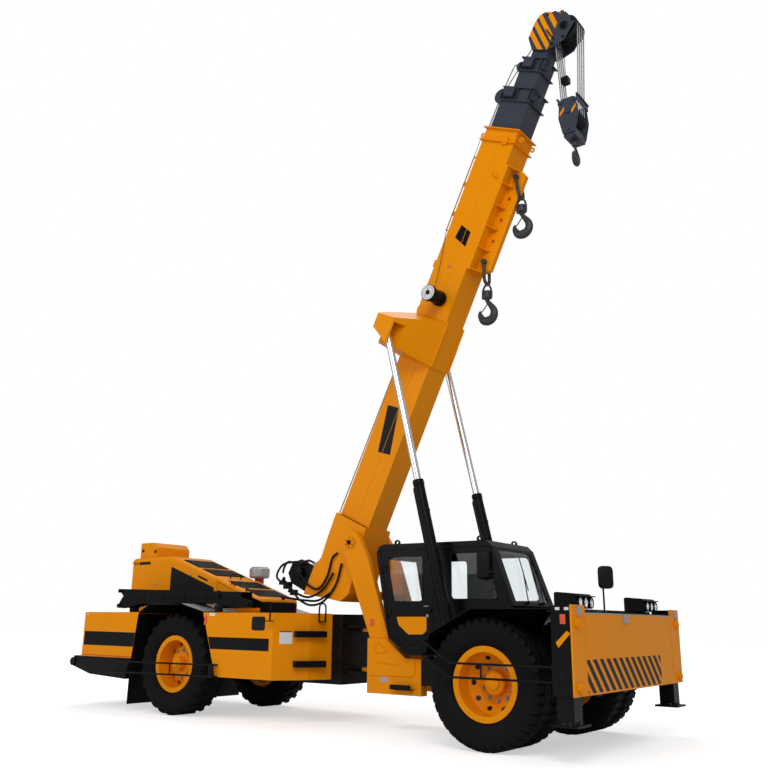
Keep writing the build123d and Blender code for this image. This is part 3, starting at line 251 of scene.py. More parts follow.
@dataclass(frozen=True)
class StrandedFinish(Finish):
    """A wire rope's finish: its bump is a slanted band pattern, like laid strands."""

    pitch: float = 160.0

    def height(
        self, tree: bpy.types.NodeTree, place: bpy.types.NodeSocket, fine: bpy.types.NodeSocket
    ) -> bpy.types.NodeSocket:
        """Bands across the rope at a slant."""
        wave = tree.nodes.new("ShaderNodeTexWave")
        wave.bands_direction = "DIAGONAL"
        wave.inputs["Scale"].default_value = self.pitch
        tree.links.new(place, wave.inputs["Vector"])
        return wave.outputs["Fac"]


@dataclass(frozen=True)
class MeshFinish(Finish):
    """A punched sheet: holes where waves along x, y and z meet, dark and sunk."""

    pitch: float = 60.0

    def height(
        self, tree: bpy.types.NodeTree, place: bpy.types.NodeSocket, fine: bpy.types.NodeSocket
    ) -> bpy.types.NodeSocket:
        """The product of three waves, one along each axis."""
        product = fine
        for direction in ("X", "Y", "Z"):
            wave = tree.nodes.new("ShaderNodeTexWave")
            wave.bands_direction = direction
            wave.inputs["Scale"].default_value = self.pitch
            tree.links.new(place, wave.inputs["Vector"])
            product = self.product(tree, product, wave.outputs["Fac"])
        return product


ORANGE_PAINT = Finish(
    "orange_paint", (0.86, 0.285, 0.0), 0.34, coat=0.02, spread=0.03, dust=0.02, wear=0.03, gloss=0.07
)
BLACK_PAINT = Finish(
    "black_paint", (0.0045, 0.005, 0.006), 0.28, coat=0.0, spread=0.15, dust=0.02, wear=0.04, gloss=0.10
)
SECTION_PAINT = Finish(
    "section_paint", (0.034, 0.041, 0.060), 0.36, coat=0.05, spread=0.10, wear=0.10, gloss=0.30
)
TYRE_RUBBER = Finish(
    "tyre_rubber", (0.0045, 0.0045, 0.005), 0.60, spread=0.25, dust=0.02, gloss=0.08,
    grain=Grain(140.0, 0.15, 0.1)
)
# Dark rubber for seals and hoses, also used as the painted shade in the wheels' hand holes.
SEAL_RUBBER_AND_HOLE_SHADE = Finish("seal_rubber_and_hole_shade", (0.007, 0.007, 0.008), 0.38, spread=0.1, dust=0.02, gloss=0.16)
ROD_CHROME = Finish("rod_chrome", (0.80, 0.82, 0.86), 0.14, metallic=1.0, spread=0.02, dust=0.0)
BARE_STEEL = Finish(
    "bare_steel", (0.35, 0.35, 0.36), 0.38, metallic=0.85, spread=0.1, grain=Grain(90.0, 0.12, 0.1)
)
FORGED_STEEL = Finish(
    "forged_steel", (0.050, 0.053, 0.060), 0.44, metallic=0.45, spread=0.2, wear=0.25,
    grain=Grain(45.0, 0.35, 0.1)
)
DARK_STEEL = Finish("dark_steel", (0.020, 0.021, 0.024), 0.42, metallic=0.35, spread=0.15)
WIRE_ROPE = StrandedFinish(
    "wire_rope", (0.40, 0.41, 0.43), 0.42, metallic=0.6, spread=0.1, grain=Grain(60.0, 0.6, 0.1)
)
SEAT_CLOTH = Finish("seat_cloth", (0.030, 0.030, 0.036), 0.9, spread=0.1, grain=Grain(500.0, 0.3, 0.05))
# Dark plastic for knobs, cases, rims and gutters, also used as the painted shade in the hood's slots.
DARK_PLASTIC_AND_SLOT_SHADE = Finish(
    "dark_plastic_and_slot_shade", (0.008, 0.008, 0.009), 0.45, spread=0.1, dust=0.02, gloss=0.14,
    grain=Grain(260.0, 0.2, 0.05)
)
GRILLE_MESH = MeshFinish(
    "grille_mesh", (0.006, 0.006, 0.007), 0.5, spread=0.1, dust=0.02, gloss=0.12,
    grain=Grain(80.0, 1.0, 0.1)
)
WINDOW_GLASS = ClearFinish(
    "window_glass", (0.90, 0.93, 0.94), 0.02, spread=0.01, dust=0.0, grain=Grain(8.0, 0.01, 0.01)
)
LENS_GLASS = ClearFinish(
    "lens_glass", (0.95, 0.96, 0.97), 0.06, spread=0.01, dust=0.0, grain=Grain(90.0, 0.5, 0.02)
)
PALE_PLATE = Finish("pale_plate", (0.72, 0.73, 0.75), 0.45, spread=0.03)
GREY_METAL = Finish("grey_metal", (0.42, 0.43, 0.44), 0.45, metallic=0.5, spread=0.08)
REFLECTOR_RED = Finish(
    "reflector_red", (0.75, 0.09, 0.015), 0.18, coat=0.6, spread=0.05, grain=Grain(320.0, 0.5, 0.05)
)
BRIGHT_RED = Finish("bright_red", (0.45, 0.02, 0.012), 0.35, coat=0.2)


def dress_nodes() -> None:
    """Give each CAD node the finish of its record slot, or of its own where it differs."""
    by_slot: dict[str, Finish] = {
        "orange": ORANGE_PAINT,
        "rim": ORANGE_PAINT,
        "black_frame": BLACK_PAINT,
        "dark_grey": SECTION_PAINT,
        "tyre": TYRE_RUBBER,
        "chrome": ROD_CHROME,
        "steel": BARE_STEEL,
        "hook": SECTION_PAINT,
        "seat": SEAT_CLOTH,
        "plastic": DARK_PLASTIC_AND_SLOT_SHADE,
        "engine": DARK_STEEL,
        "glass": WINDOW_GLASS,
    }
    own: dict[str, Finish] = {"hood_grilles": GRILLE_MESH, "pre_cleaner": GREY_METAL}
    slots = {row["node"]: row["material_slot"] for row in frame["record"]["subparts"]}
    for name, node in frame["nodes"].items():
        node.data.materials.clear()
        node.data.materials.append(own.get(name, by_slot[slots[name]]).build())


# Surfaces worked out with numpy


@dataclass
class Surface:
    """The points, quads and many-sided caps of one form."""

    points: Array
    quads: Faces
    caps: list[list[int]] = field(default_factory=list)

    def repeated(self, turns: Array, shifts: Array) -> Surface:
        """Copies of the form: each point p goes to turn p + shift, for every pair of turn and shift.

        Args:
            turns: as many 3 by 3 matrices as there are copies.
            shifts: as many moves.

        Returns:
            One surface with all the copies.
        """
        spread = np.einsum("kij,nj->kni", turns, self.points) + shifts[:, None, :]
        offsets = np.arange(len(shifts)) * len(self.points)
        quads = (self.quads[None] + offsets[:, None, None]).reshape(-1, 4)
        caps = [[i + int(o) for i in cap] for o in offsets for cap in self.caps]
        return Surface(spread.reshape(-1, 3), quads, caps)

    def shifted(self, shifts: Points) -> Surface:
        """Copies of the form, one at each shift."""
        moves = np.array(shifts, dtype=float)
        return self.repeated(np.broadcast_to(np.eye(3), (len(moves), 3, 3)), moves)

    def mirrored(self) -> Surface:
        """The form with y turned to -y."""
        return Surface(self.points * np.array([1.0, -1.0, 1.0]), self.quads, self.caps)

    def round_axle(self, centre: Array, count: int, start: float = 0.0) -> Surface:
        """Copies turned about an axle along y through the centre: p goes to centre + turn (p - centre)."""
        angle = start + np.arange(count) * 2.0 * math.pi / count
        zero, one = np.zeros(count), np.ones(count)
        rows = (np.cos(angle), zero, np.sin(angle), zero, one, zero, -np.sin(angle), zero, np.cos(angle))
        turns = np.stack(rows, axis=-1).reshape(count, 3, 3)
        return self.repeated(turns, centre - turns @ centre)


def joined(forms: Sequence[Surface]) -> Surface:
    """Several forms as one surface."""
    starts = np.cumsum([0] + [len(form.points) for form in forms])
    points = np.concatenate([form.points for form in forms])
    quads = np.concatenate([form.quads + start for form, start in zip(forms, starts)])
    caps = [[i + int(start) for i in cap] for form, start in zip(forms, starts) for cap in form.caps]
    return Surface(points, quads, caps)


def grid_surface(
    points: Array, around_rows: bool = False, around_columns: bool = False, capped: bool = False
) -> Surface:
    """A surface over a grid of points: quads from i, j to i + 1, j, then i + 1, j + 1, then i, j + 1.

    Args:
        points: rows by columns by 3 places.
        around_rows: whether the last row meets the first.
        around_columns: whether the last column meets the first.
        capped: whether the first and the last row are closed by one face each.

    Returns:
        The surface.
    """
    rows, columns = points.shape[:2]
    i, j = np.meshgrid(
        np.arange(rows if around_rows else rows - 1),
        np.arange(columns if around_columns else columns - 1),
        indexing="ij",
    )
    k, m = (i + 1) % rows, (j + 1) % columns
    quads = np.stack([i * columns + j, k * columns + j, k * columns + m, i * columns + m], axis=-1)
    caps = []
    if capped:
        first = list(range(columns))
        caps = [first[::-1], [(rows - 1) * columns + c for c in first]]
    return Surface(points.reshape(-1, 3), quads.reshape(-1, 4), caps)


def unit(vectors: Array) -> Array:
    """Vectors brought to length 1."""
    return vectors / np.linalg.norm(vectors, axis=-1, keepdims=True)


def square_to(directions: Array) -> Array:
    """The direction that lies least along any of the given ones: their last singular vector."""
    return np.linalg.svd(np.atleast_2d(directions), full_matrices=True)[2][-1]


def tube(
    path: Points, radius: float | Array, sides: int = 10, flat: float = 1.0, closed: bool = False
) -> Surface:
    """A round bar along a path: path + radius (side cos a + flat lift sin a), square to the path.

    Args:
        path: the places that the bar passes.
        radius: one radius, or one for each place.
        sides: how many points go round.
        flat: how thick the bar is across its plane, against in it.
        closed: whether the path's end meets its start.

    Returns:
        The bar, with its ends closed unless it is a ring.
    """
    line = np.asarray(path, dtype=float)
    if closed:
        ahead = unit(np.roll(line, -1, axis=0) - np.roll(line, 1, axis=0))
    else:
        ahead = unit(np.gradient(line, axis=0))
    lift = unit(np.cross(ahead, np.cross(square_to(ahead), ahead)))
    side = np.cross(ahead, lift)
    angle = np.linspace(0.0, 2.0 * math.pi, sides, endpoint=False)
    cos_a, sin_a = np.cos(angle)[None, :, None], np.sin(angle)[None, :, None]
    ring = side[:, None, :] * cos_a + flat * lift[:, None, :] * sin_a
    size = np.broadcast_to(np.asarray(radius, dtype=float), (len(line),))
    points = line[:, None, :] + size[:, None, None] * ring
    return grid_surface(points, around_rows=closed, around_columns=True, capped=not closed)


def curve(points: Points, count: int = 40) -> Array:
    """A smooth line through given places: each stretch is the cubic of its four neighbours."""
    line = np.asarray(points, dtype=float)
    ends = np.vstack([2 * line[0] - line[1], line, 2 * line[-1] - line[-2]])
    t = np.linspace(0.0, len(line) - 1.0, count)
    i = np.minimum(t.astype(int), len(line) - 2)
    u = (t - i)[:, None]
    a, b, c, d = ends[i], ends[i + 1], ends[i + 2], ends[i + 3]
    return 0.5 * (2 * b + (c - a) * u + (2 * a - 5 * b + 4 * c - d) * u**2 + (3 * b - 3 * c + d - a) * u**3)


def rounded_path(points: Points, radius: float, steps: int = 6) -> Array:
    """A path whose inner corners are rounded: each is the bent line from one stretch to the next."""
    line = np.asarray(points, dtype=float)
    corner = line[1:-1]
    before = corner + radius * unit(line[:-2] - corner)
    after = corner + radius * unit(line[2:] - corner)
    t = np.linspace(0.0, 1.0, steps)[None, :, None]
    bent = (1 - t) ** 2 * before[:, None] + 2 * t * (1 - t) * corner[:, None] + t**2 * after[:, None]
    return np.vstack([line[:1], bent.reshape(-1, 3), line[-1:]])


def turned(profile: Points, centre: Points, axis: Array, count: int = 40, ring: bool = False) -> Surface:
    """A turned form: centre + axis times offset + radius (u cos a + v sin a), for each profile point.

    Args:
        profile: radius and offset along the axis, from end to end.
        centre: where the offset is 0.
        axis: the direction of the axle.
        count: how many points go round, or how many flats.
        ring: whether the profile's end meets its start, for a form with a hole along its axle.

    Returns:
        The form, closed at both ends unless it is a ring.
    """
    lines = np.asarray(profile, dtype=float)
    axle = unit(np.asarray(axis, dtype=float))
    u = unit(np.cross(axle, Z_DIR if abs(axle[2]) < 0.9 else X_DIR))
    v = np.cross(axle, u)
    angle = np.linspace(0.0, 2.0 * math.pi, count, endpoint=False)
    spoke = u * np.cos(angle)[:, None] + v * np.sin(angle)[:, None]
    middle = np.asarray(centre, dtype=float) + lines[:, 1, None, None] * axle
    points = middle + lines[:, 0, None, None] * spoke
    return grid_surface(points, around_rows=ring, around_columns=True, capped=not ring)


def oblong(left: float, low: float, right: float, high: float) -> Points:
    """The four corners of an oblong, its low edge first."""
    return ((left, low), (right, low), (right, high), (left, high))


def rounded(outline: Points, radius: float, steps: int = 6) -> Array:
    """An outline with its corners rounded: each is the bent line from one edge to the next."""
    corner = np.asarray(outline, dtype=float)
    before = corner + radius * unit(np.roll(corner, 1, axis=0) - corner)
    after = corner + radius * unit(np.roll(corner, -1, axis=0) - corner)
    t = np.linspace(0.0, 1.0, steps)[None, :, None]
    bent = (1 - t) ** 2 * before[:, None] + 2 * t * (1 - t) * corner[:, None] + t**2 * after[:, None]
    return bent.reshape(-1, 2)


def inset(outline: Array, amount: float) -> Array:
    """An outline drawn in by an amount, along the half-way direction of its corners."""
    back = unit(outline - np.roll(outline, 1, axis=0))
    ahead = unit(np.roll(outline, -1, axis=0) - outline)
    area = np.sum(outline[:, 0] * np.roll(outline[:, 1], -1) - outline[:, 1] * np.roll(outline[:, 0], -1))
    normal = unit(back + ahead) @ np.array([[0.0, 1.0], [-1.0, 0.0]]) * np.sign(area)
    reach = np.sqrt(np.clip((1.0 + np.sum(back * ahead, axis=1)) / 2.0, 0.15, 1.0))
    return outline + amount * normal / reach[:, None]


def slab(outline: Points, origin: Points, u: Array, v: Array, out: Array, edge: float = 0.0) -> Surface:
    """A plate: origin + a u + b v for each point a, b of its outline, carried along out.

    Args:
        outline: the points a, b.
        origin: where a and b are 0.
        u: direction of a.
        v: direction of b.
        out: the plate's whole thickness, as a vector.
        edge: how far its outer rim is broken.

    Returns:
        The plate, closed on both faces.
    """
    flat = np.asarray(outline, dtype=float)
    depth = float(np.linalg.norm(out))
    rings = [(0.0, 0.0), (0.0, 1.0)]
    if edge != 0.0:
        rings = [(0.0, 0.0), (0.0, 1.0 - edge / depth), (edge, 1.0)]
    levels = []
    for drawn_in, level in rings:
        ring = inset(flat, drawn_in) if drawn_in else flat
        levels.append(np.asarray(origin) + ring[:, :1] * u + ring[:, 1:] * v + level * out)
    return grid_surface(np.stack(levels), around_columns=True, capped=True)


def block(low: Points, high: Points, edge: float = 0.002) -> Surface:
    """A block from its low to its high corner, with its upper rim broken."""
    start, end = np.minimum(low, high), np.maximum(low, high)
    corners = oblong(start[0], start[1], end[0], end[1])
    return slab(corners, (0.0, 0.0, start[2]), X_DIR, Y_DIR, Z_DIR * (end[2] - start[2]), edge)


def band(outline: Points, slope: Points, start: float, width: float) -> Array | None:
    """The part of a convex outline between two slanted lines, worked out on five lines between them.

    Args:
        outline: the outline's points.
        slope: the direction of the lines.
        start: the first line's distance from the origin.
        width: how far apart the two lines are.

    Returns:
        The band's own outline, or None where it misses.
    """
    corners = np.asarray(outline, dtype=float)
    slant = unit(np.asarray(slope, dtype=float))
    across = np.array([-slant[1], slant[0]])
    levels = np.linspace(start, start + width, 5)
    ahead = np.roll(corners, -1, axis=0)
    near, far = corners @ across, ahead @ across
    share = (levels[:, None] - near) / (far - near + 1e-12)
    hits = (corners + share[..., None] * (ahead - corners)) @ slant
    met = (share >= 0.0) & (share <= 1.0)
    crossed = met.sum(axis=1) >= 2
    if crossed.sum() < 2:
        return None
    low = np.where(met, hits, np.inf).min(axis=1)[crossed]
    high = np.where(met, hits, -np.inf).max(axis=1)[crossed]
    kept = levels[crossed][:, None] * across
    return np.concatenate([kept + low[:, None] * slant, (kept + high[:, None] * slant)[::-1]])


def on_boom(s: float, n: float, y: float = 0.0) -> Array:
    """The place at the boom's s, n and y."""
    return PIVOT + ALONG * s + BACK * n + Y_DIR * y


def ahead_of_axle(x: float, y: float, z: float) -> Array:
    """The place whose x is counted from the front axle."""
    return np.array([FRONT_AXLE_X + x, y, z])


def curve_ahead(points: Points, count: int) -> Array:
    """A smooth line through places counted from the front axle."""
    return curve([ahead_of_axle(*point) for point in points], count)


@dataclass(frozen=True)
class Piece:
    """One new piece: its surface, its finish, the body that carries it and its record slot."""

    name: str
    form: Surface
    finish: Finish
    body: str
    slot: str
    replaced: tuple[str, ...] = ()
    crease: float = 35.0

    def make(self) -> bpy.types.Object:
        """Build the piece's object, with its faces outwards and its creases kept.

        Returns:
            The new object, at the origin.
        """
        mesh = bpy.data.meshes.new(self.name)
        faces = self.form.quads.tolist() + self.form.caps
        mesh.from_pydata(self.form.points, [], faces)
        shape = bmesh.new()
        shape.from_mesh(mesh)
        bmesh.ops.recalc_face_normals(shape, faces=shape.faces)
        shape.to_mesh(mesh)
        shape.free()
        mesh.shade_smooth()
        mesh.set_sharp_from_angle(angle=math.radians(self.crease))
        made = bpy.data.objects.new(self.name, mesh)
        bpy.context.scene.collection.objects.link(made)
        return made


class SubAssembly:
    """A group of new pieces of the crane."""

    def forms(self) -> Iterator[Piece]:
        """Work out the group's pieces, one by one."""
        raise NotImplementedError

    def build(self) -> None:
        """Make each piece, dress it and report it."""
        for piece in self.forms():
            made = piece.make()
            self.dress(made, piece)
            log.info("%s: %d faces on %s", piece.name, len(made.data.polygons), piece.body)

    def dress(self, made: bpy.types.Object, piece: Piece) -> None:
        """Give a piece its finish, the body that carries it and the nodes that it stands for."""
        made.data.materials.append(piece.finish.build())
        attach(made, piece.body)
        if piece.replaced:
            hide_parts(*piece.replaced)


# Wheels


class Tread(Enum):
    """The two tread patterns."""

    BLOCKS = "blocks"
    BARS = "bars"


@dataclass
class Tyre(SubAssembly):
    """One wheel's tyres: a smooth casing whose crown is cut by the tread's grooves."""

    side: Side
    axle: str
    axle_x: float
    places: tuple[float, ...]
    radius: float
    half_w: float
    bead_half: float
    tread: Tread
    count: int
    depth: float

    def wall(self) -> Array:
        """Radius and offset of half the casing, from the bore over bead, wall and shoulder to the crown."""
        w, r, bead = self.half_w, self.radius, self.bead_half
        return curve(
            (
                (0.3055, 0.0), (0.3055, bead - 0.008), (0.330, bead), (0.356, bead + 0.004),
                (0.372, bead + 0.030), (0.41, 0.95 * w), (0.46, w - 0.002), (0.52, w),
                (r - 0.062, w - 0.004),
                (r - 0.034, w - 0.012), (r - 0.010, w - 0.030), (r, w - 0.058), (r, 0.5 * w), (r, 0.0),
            ),
            46,
        )

    def cut(self, turn: Array, offset: Array) -> Array:
        """How deep the tread is cut, from 0 to 1, at an angle and an offset.

        For bars, a sawtooth of the angle plus the offset's slant marks the grooves, half a pitch apart
        on the two sides. For blocks, it marks the gaps of the shoulder, and two zigzag rings the ribs.
        """
        phase = self.count * turn / (2.0 * math.pi)
        away = np.abs(offset)
        if self.tread is Tread.BARS:
            slant = self.count / (2.0 * math.pi) * math.tan(math.radians(28.0)) / self.radius
            saw = np.abs(2.0 * np.mod(phase + slant * away + 0.5 * (offset > 0), 1.0) - 1.0)
            return np.clip((saw - 0.40) / 0.14, 0.0, 1.0)
        saw = np.abs(2.0 * np.mod(phase + 6.0 * away, 1.0) - 1.0)
        gap = np.clip((saw - 0.66) / 0.1, 0.0, 1.0)
        shoulder = gap * np.clip((away - 0.40 * self.half_w) / 0.006, 0.0, 1.0)
        zigzag = 0.012 * (np.abs(2.0 * np.mod(phase, 1.0) - 1.0) - 0.5)
        rings = [
            np.clip((0.010 - np.abs(away - share * self.half_w - zigzag)) / 0.004, 0.0, 1.0)
            for share in (0.05, 0.42)
        ]
        return np.clip(shoulder + 0.8 * rings[0] + 0.8 * rings[1], 0.0, 1.0)

    def casing(self, y: float) -> Surface:
        """One tyre: x and z are centre + (radius - depth cut) times cos and sin of the turn."""
        half = self.wall()
        ring = np.concatenate([half, half[-2:0:-1] * np.array([1.0, -1.0])])
        ring[:, 0] = np.minimum(ring[:, 0], self.radius)
        turn = np.linspace(0.0, 2.0 * math.pi, self.count * 12, endpoint=False)
        angle, radius = np.meshgrid(turn, ring[:, 0], indexing="ij")
        offset = np.broadcast_to(ring[:, 1], angle.shape)
        near_crown = np.clip((radius - (self.radius - 0.075)) / 0.035, 0.0, 1.0)
        radius = radius - self.depth * near_crown * self.cut(angle, offset)
        ribs = 0.0025 * np.sin(140.0 * radius) * (radius < self.radius - 0.08) * (radius > 0.40)
        offset = offset + ribs * np.sign(offset)
        points = (self.axle_x + radius * np.cos(angle), y + offset, self.radius + radius * np.sin(angle))
        return grid_surface(np.stack(points, axis=-1), around_rows=True, around_columns=True)

    def forms(self) -> Iterator[Piece]:
        """The wheel's tyres, in place of the plain ones."""
        label = self.side.label
        form = joined([self.casing(self.side.value * y) for y in self.places])
        node = f"{self.axle}_tyre_{label}"
        yield Piece(
            f"treaded_{node}", form, TYRE_RUBBER, f"{self.axle}_wheel_{label}", "tyre", (node,), 28.0
        )


@dataclass
class WheelTrim(SubAssembly):
    """Nuts and studs on a wheel's disc, bolts and a cap on its hub, and painted shade in the hand holes."""

    side: Side
    axle: str
    axle_x: float
    radius: float
    face_y: float
    hub_y: float
    hub_r: float
    nut_ring_r: float = 0.168
    nut_count: int = 10
    hole_ring_r: float = 0.247
    hole_y: float = 0.978
    hole_tilt: float = -0.93

    def forms(self) -> Iterator[Piece]:
        """Nuts in silver, the hub's cap in the rim's paint, and painted shade in the hand holes as dark
        dishes.
        """
        sign, label = self.side.value, self.side.label
        out = Y_DIR * sign
        centre = np.array([self.axle_x, 0.0, self.radius])
        body = f"{self.axle}_wheel_{label}"
        place = centre + Z_DIR * self.nut_ring_r + out * self.face_y
        nut = turned(((0.019, 0.0), (0.019, 0.013), (0.016, 0.016)), place, out, 6)
        washer = turned(((0.023, 0.0), (0.023, 0.003)), place, out, 20)
        stud = turned(((0.010, 0.0), (0.010, 0.027), (0.008, 0.030)), place, out, 12)
        nuts = joined([nut, washer, stud]).round_axle(centre, self.nut_count)
        yield Piece(f"{self.axle}_nuts_{label}", nuts, BARE_STEEL, body, "steel")
        hub = centre + out * self.hub_y
        r = self.hub_r
        cap = turned(
            (
                (r - 0.004, 0.0), (r - 0.012, 0.008), (0.62 * r, 0.012), (0.55 * r, 0.030),
                (0.30 * r, 0.036), (0.001, 0.037)
            ),
            hub, out
        )
        bolt = turned(
            ((0.009, 0.0), (0.009, 0.012)), hub + Z_DIR * 0.78 * r, out, 6
        ).round_axle(centre, 8, 0.2)
        yield Piece(f"{self.axle}_hub_cap_{label}", joined([cap, bolt]), ORANGE_PAINT, body, "rim")
        # Painted shade: a thin dark disc in each hand hole stands in for the shade seen through it.
        spot = centre + Z_DIR * self.hole_ring_r + out * self.hole_y
        hole = turned(
            ((0.026, 0.0), (0.026, 0.0022), (0.001, 0.0024)), spot, unit(out + Z_DIR * self.hole_tilt), 18
        )
        holes = hole.round_axle(centre, self.nut_count, 0.3)
        yield Piece(f"{self.axle}_hand_holes_{label}", holes, SEAL_RUBBER_AND_HOLE_SHADE, body, "tyre")


# Rear half


@dataclass
class Hood(SubAssembly):
    """The engine hood: a rounded shell with slatted vents, side meshes, grille, knobs and handles."""

    half_w: float = 0.390
    edge_r: float = 0.040
    low_z: float = 1.255
    rear_x: float = -6.500
    ridge: tuple[float, float] = (-5.630, 2.062)
    front: tuple[float, float] = (-3.835, 1.455)
    seam_x: float = -4.650
    vents: tuple[tuple[float, float], ...] = (
        (0.170, 0.520), (0.600, 0.905), (1.150, 1.450), (1.510, 1.800)
    )
    vent_half_w: float = 0.290
    slat_pitch: float = 0.030
    mesh_low_z: float = 1.340
    mesh_drop: float = 0.140

    @property
    def fall(self) -> Array:
        """The direction down the slope."""
        return unit(np.array([self.front[0] - self.ridge[0], 0.0, self.front[1] - self.ridge[1]]))

    @property
    def lift(self) -> Array:
        """The direction square to the slope."""
        return np.array([-self.fall[2], 0.0, self.fall[0]])

    def slope_z(self, x: float) -> float:
        """The slope's height at an x counted from the front axle."""
        rise = (x - self.ridge[0]) * (self.front[1] - self.ridge[1]) / (self.front[0] - self.ridge[0])
        return self.ridge[1] + rise

    def shell(self, outline: Points, half_w: float, edge_r: float, steps: int = 6) -> Surface:
        """An outline carried across, its rims rounded: inset r (1 - cos a) at r sin a from the rim."""
        flat = rounded(outline, 1.5 * edge_r, 6)
        angle = np.linspace(math.pi / 2.0, 0.0, steps)
        drawn_in = edge_r * (1.0 - np.cos(angle))
        across = half_w - edge_r + edge_r * np.sin(angle)
        rings = [(inset(flat, amount), y) for amount, y in zip(drawn_in, across)]
        rings = [(ring, -y) for ring, y in rings] + [(ring, y) for ring, y in reversed(rings)]
        levels = [
            np.column_stack([FRONT_AXLE_X + ring[:, 0], np.full(len(ring), y), ring[:, 1]])
            for ring, y in rings
        ]
        return grid_surface(np.stack(levels), around_columns=True, capped=True)

    def on_slope(self, down: float, across: float, up: float = 0.0) -> Array:
        """The place on the slope, counted from the ridge."""
        return ahead_of_axle(self.ridge[0], across, self.ridge[1]) + self.fall * down + self.lift * up

    def forms(self) -> Iterator[Piece]:
        """The shell in two parts, its grilles and its fittings, with dark slabs as painted shade in its
        slots.
        """
        z = self.low_z
        seam_z = self.slope_z(self.seam_x)
        rear = (
            (self.rear_x, z), (self.seam_x - 0.004, z), (self.seam_x - 0.004, seam_z), self.ridge,
            (self.rear_x, 2.055)
        )
        front = (
            (self.seam_x + 0.004, z), (self.front[0], z), self.front, (self.seam_x + 0.004, seam_z + 0.006)
        )
        box = ((-6.420, 2.045), (-6.050, 2.045), (-6.050, 2.210), (-6.130, 2.285), (-6.420, 2.285))
        parts = [
            self.shell(rear, self.half_w, self.edge_r), self.shell(front, self.half_w + 0.004, self.edge_r)
        ]
        parts.append(self.shell(box, 0.320, 0.012))
        yield Piece("hood_shell", joined(parts), ORANGE_PAINT, "rear", "orange", ("hood",))
        panels, slats = [], []
        for start, end in self.vents:
            outline = rounded(oblong(start, -self.vent_half_w, end, self.vent_half_w), 0.02)
            origin = self.on_slope(0.0, 0.0)
            panels.append(slab(outline, origin, self.fall, Y_DIR, self.lift * 0.009, 0.002))
            count = int((end - start - 0.03) / self.slat_pitch)
            slat = oblong(-0.004, -self.vent_half_w + 0.02, 0.010, self.vent_half_w - 0.02)
            tilt = unit(self.lift + 0.8 * self.fall)
            first = slab(
                slat, self.on_slope(start + 0.022, 0.0, 0.006), self.fall, Y_DIR, tilt * 0.009, 0.001
            )
            slats.append(first.shifted(np.outer(np.arange(count) * self.slat_pitch, self.fall)))
        for sign in (-1, 1):
            y = sign * (self.half_w + 0.0045)
            for low_x, high_x in (
                (self.ridge[0] + 0.028, self.seam_x - 0.045), (self.seam_x + 0.030, self.seam_x + 0.500)
            ):
                drop = self.mesh_drop
                mesh = (
                    (low_x, self.mesh_low_z), (high_x, self.mesh_low_z),
                    (high_x, self.slope_z(high_x) - drop), (low_x, self.slope_z(low_x) - drop)
                )
                panels.append(
                    slab(
                        rounded(mesh, 0.022), ahead_of_axle(0.0, y - sign * 0.008, 0.0), X_DIR, Z_DIR,
                        Y_DIR * sign * 0.010, 0.002
                    )
                )
        grille = rounded(oblong(-0.352, 1.272, 0.352, 1.418), 0.045)
        panels.append(
            slab(grille, ahead_of_axle(self.front[0] - 0.004, 0.0, 0.0), Y_DIR, Z_DIR, X_DIR * 0.008, 0.002)
        )
        bars = block(
            ahead_of_axle(self.front[0], -0.33, 1.284), ahead_of_axle(self.front[0] + 0.010, 0.33, 1.290),
            0.001
        )
        slats.append(bars.shifted([(0.0, 0.0, 0.016 * k) for k in range(8)]))
        yield Piece("hood_panels", joined(panels), GRILLE_MESH, "rear", "black_frame", ("hood_grilles",))
        yield Piece("hood_slats", joined(slats), BLACK_PAINT, "rear", "black_frame")
        handle = curve(
            [
                self.on_slope(1.00, y, up)
                for y, up in (
                    (-0.10, 0.0), (-0.10, 0.045), (-0.06, 0.062), (0.06, 0.062), (0.10, 0.045), (0.10, 0.0)
                )
            ],
            30
        )
        fittings = [tube(handle, 0.009)]
        for down, y in ((1.30, -0.345), (1.36, -0.345), (1.60, -0.345)):
            knob = (
                (0.010, 0.0), (0.010, 0.020), (0.024, 0.024), (0.026, 0.040), (0.012, 0.048), (0.001, 0.049)
            )
            fittings.append(turned(knob, self.on_slope(down, y), self.lift, 20))
        # Painted shade: these two slots, the long one and the one along the slope are thin dark slabs that
        # stand in for the shade inside slots in the hood's near side.
        for x, height in ((-6.440, 1.955), (-6.395, 1.955)):
            slot = rounded(
                (
                    (x, height), (x + 0.022, height), (x + 0.030, height + 0.042),
                    (x + 0.008, height + 0.042)
                ),
                0.004
            )
            fittings.append(
                slab(slot, ahead_of_axle(0.0, -self.half_w + 0.001, 0.0), X_DIR, Z_DIR, -Y_DIR * 0.003)
            )
        long_slot_shade = rounded(((-6.340, 1.957), (-6.080, 1.957), (-6.070, 1.997), (-6.330, 1.997)), 0.008)
        fittings.append(
            slab(long_slot_shade, ahead_of_axle(0.0, -self.half_w + 0.001, 0.0), X_DIR, Z_DIR, -Y_DIR * 0.003)
        )
        fall_slot_shade = [(-5.03, 1.755), (-4.83, 1.688), (-4.83, 1.716), (-5.03, 1.783)]
        fittings.append(
            slab(
                rounded(fall_slot_shade, 0.01), ahead_of_axle(0.0, -self.half_w + 0.001, 0.0), X_DIR, Z_DIR,
                -Y_DIR * 0.004
            )
        )
        for x, y, height in ((-6.35, -0.3225, 2.17), (-6.07, -0.3225, 2.15)):
            fittings.append(
                block(
                    ahead_of_axle(x - 0.015, y - 0.012, height - 0.02),
                    ahead_of_axle(x + 0.015, y + 0.005, height + 0.02)
                )
            )
        yield Piece("hood_fittings_and_slot_shade", joined(fittings), DARK_PLASTIC_AND_SLOT_SHADE, "rear", "plastic")
        latches = [
            turned(
                ((0.016, 0.0), (0.016, 0.008), (0.010, 0.010)), ahead_of_axle(x, -self.half_w, height),
                -Y_DIR, 16
            )
            for x, height in ((-5.92, 1.675), (-6.47, 1.99), (-5.18, 1.795))
        ]
        yield Piece("hood_latches", joined(latches), BARE_STEEL, "rear", "steel")


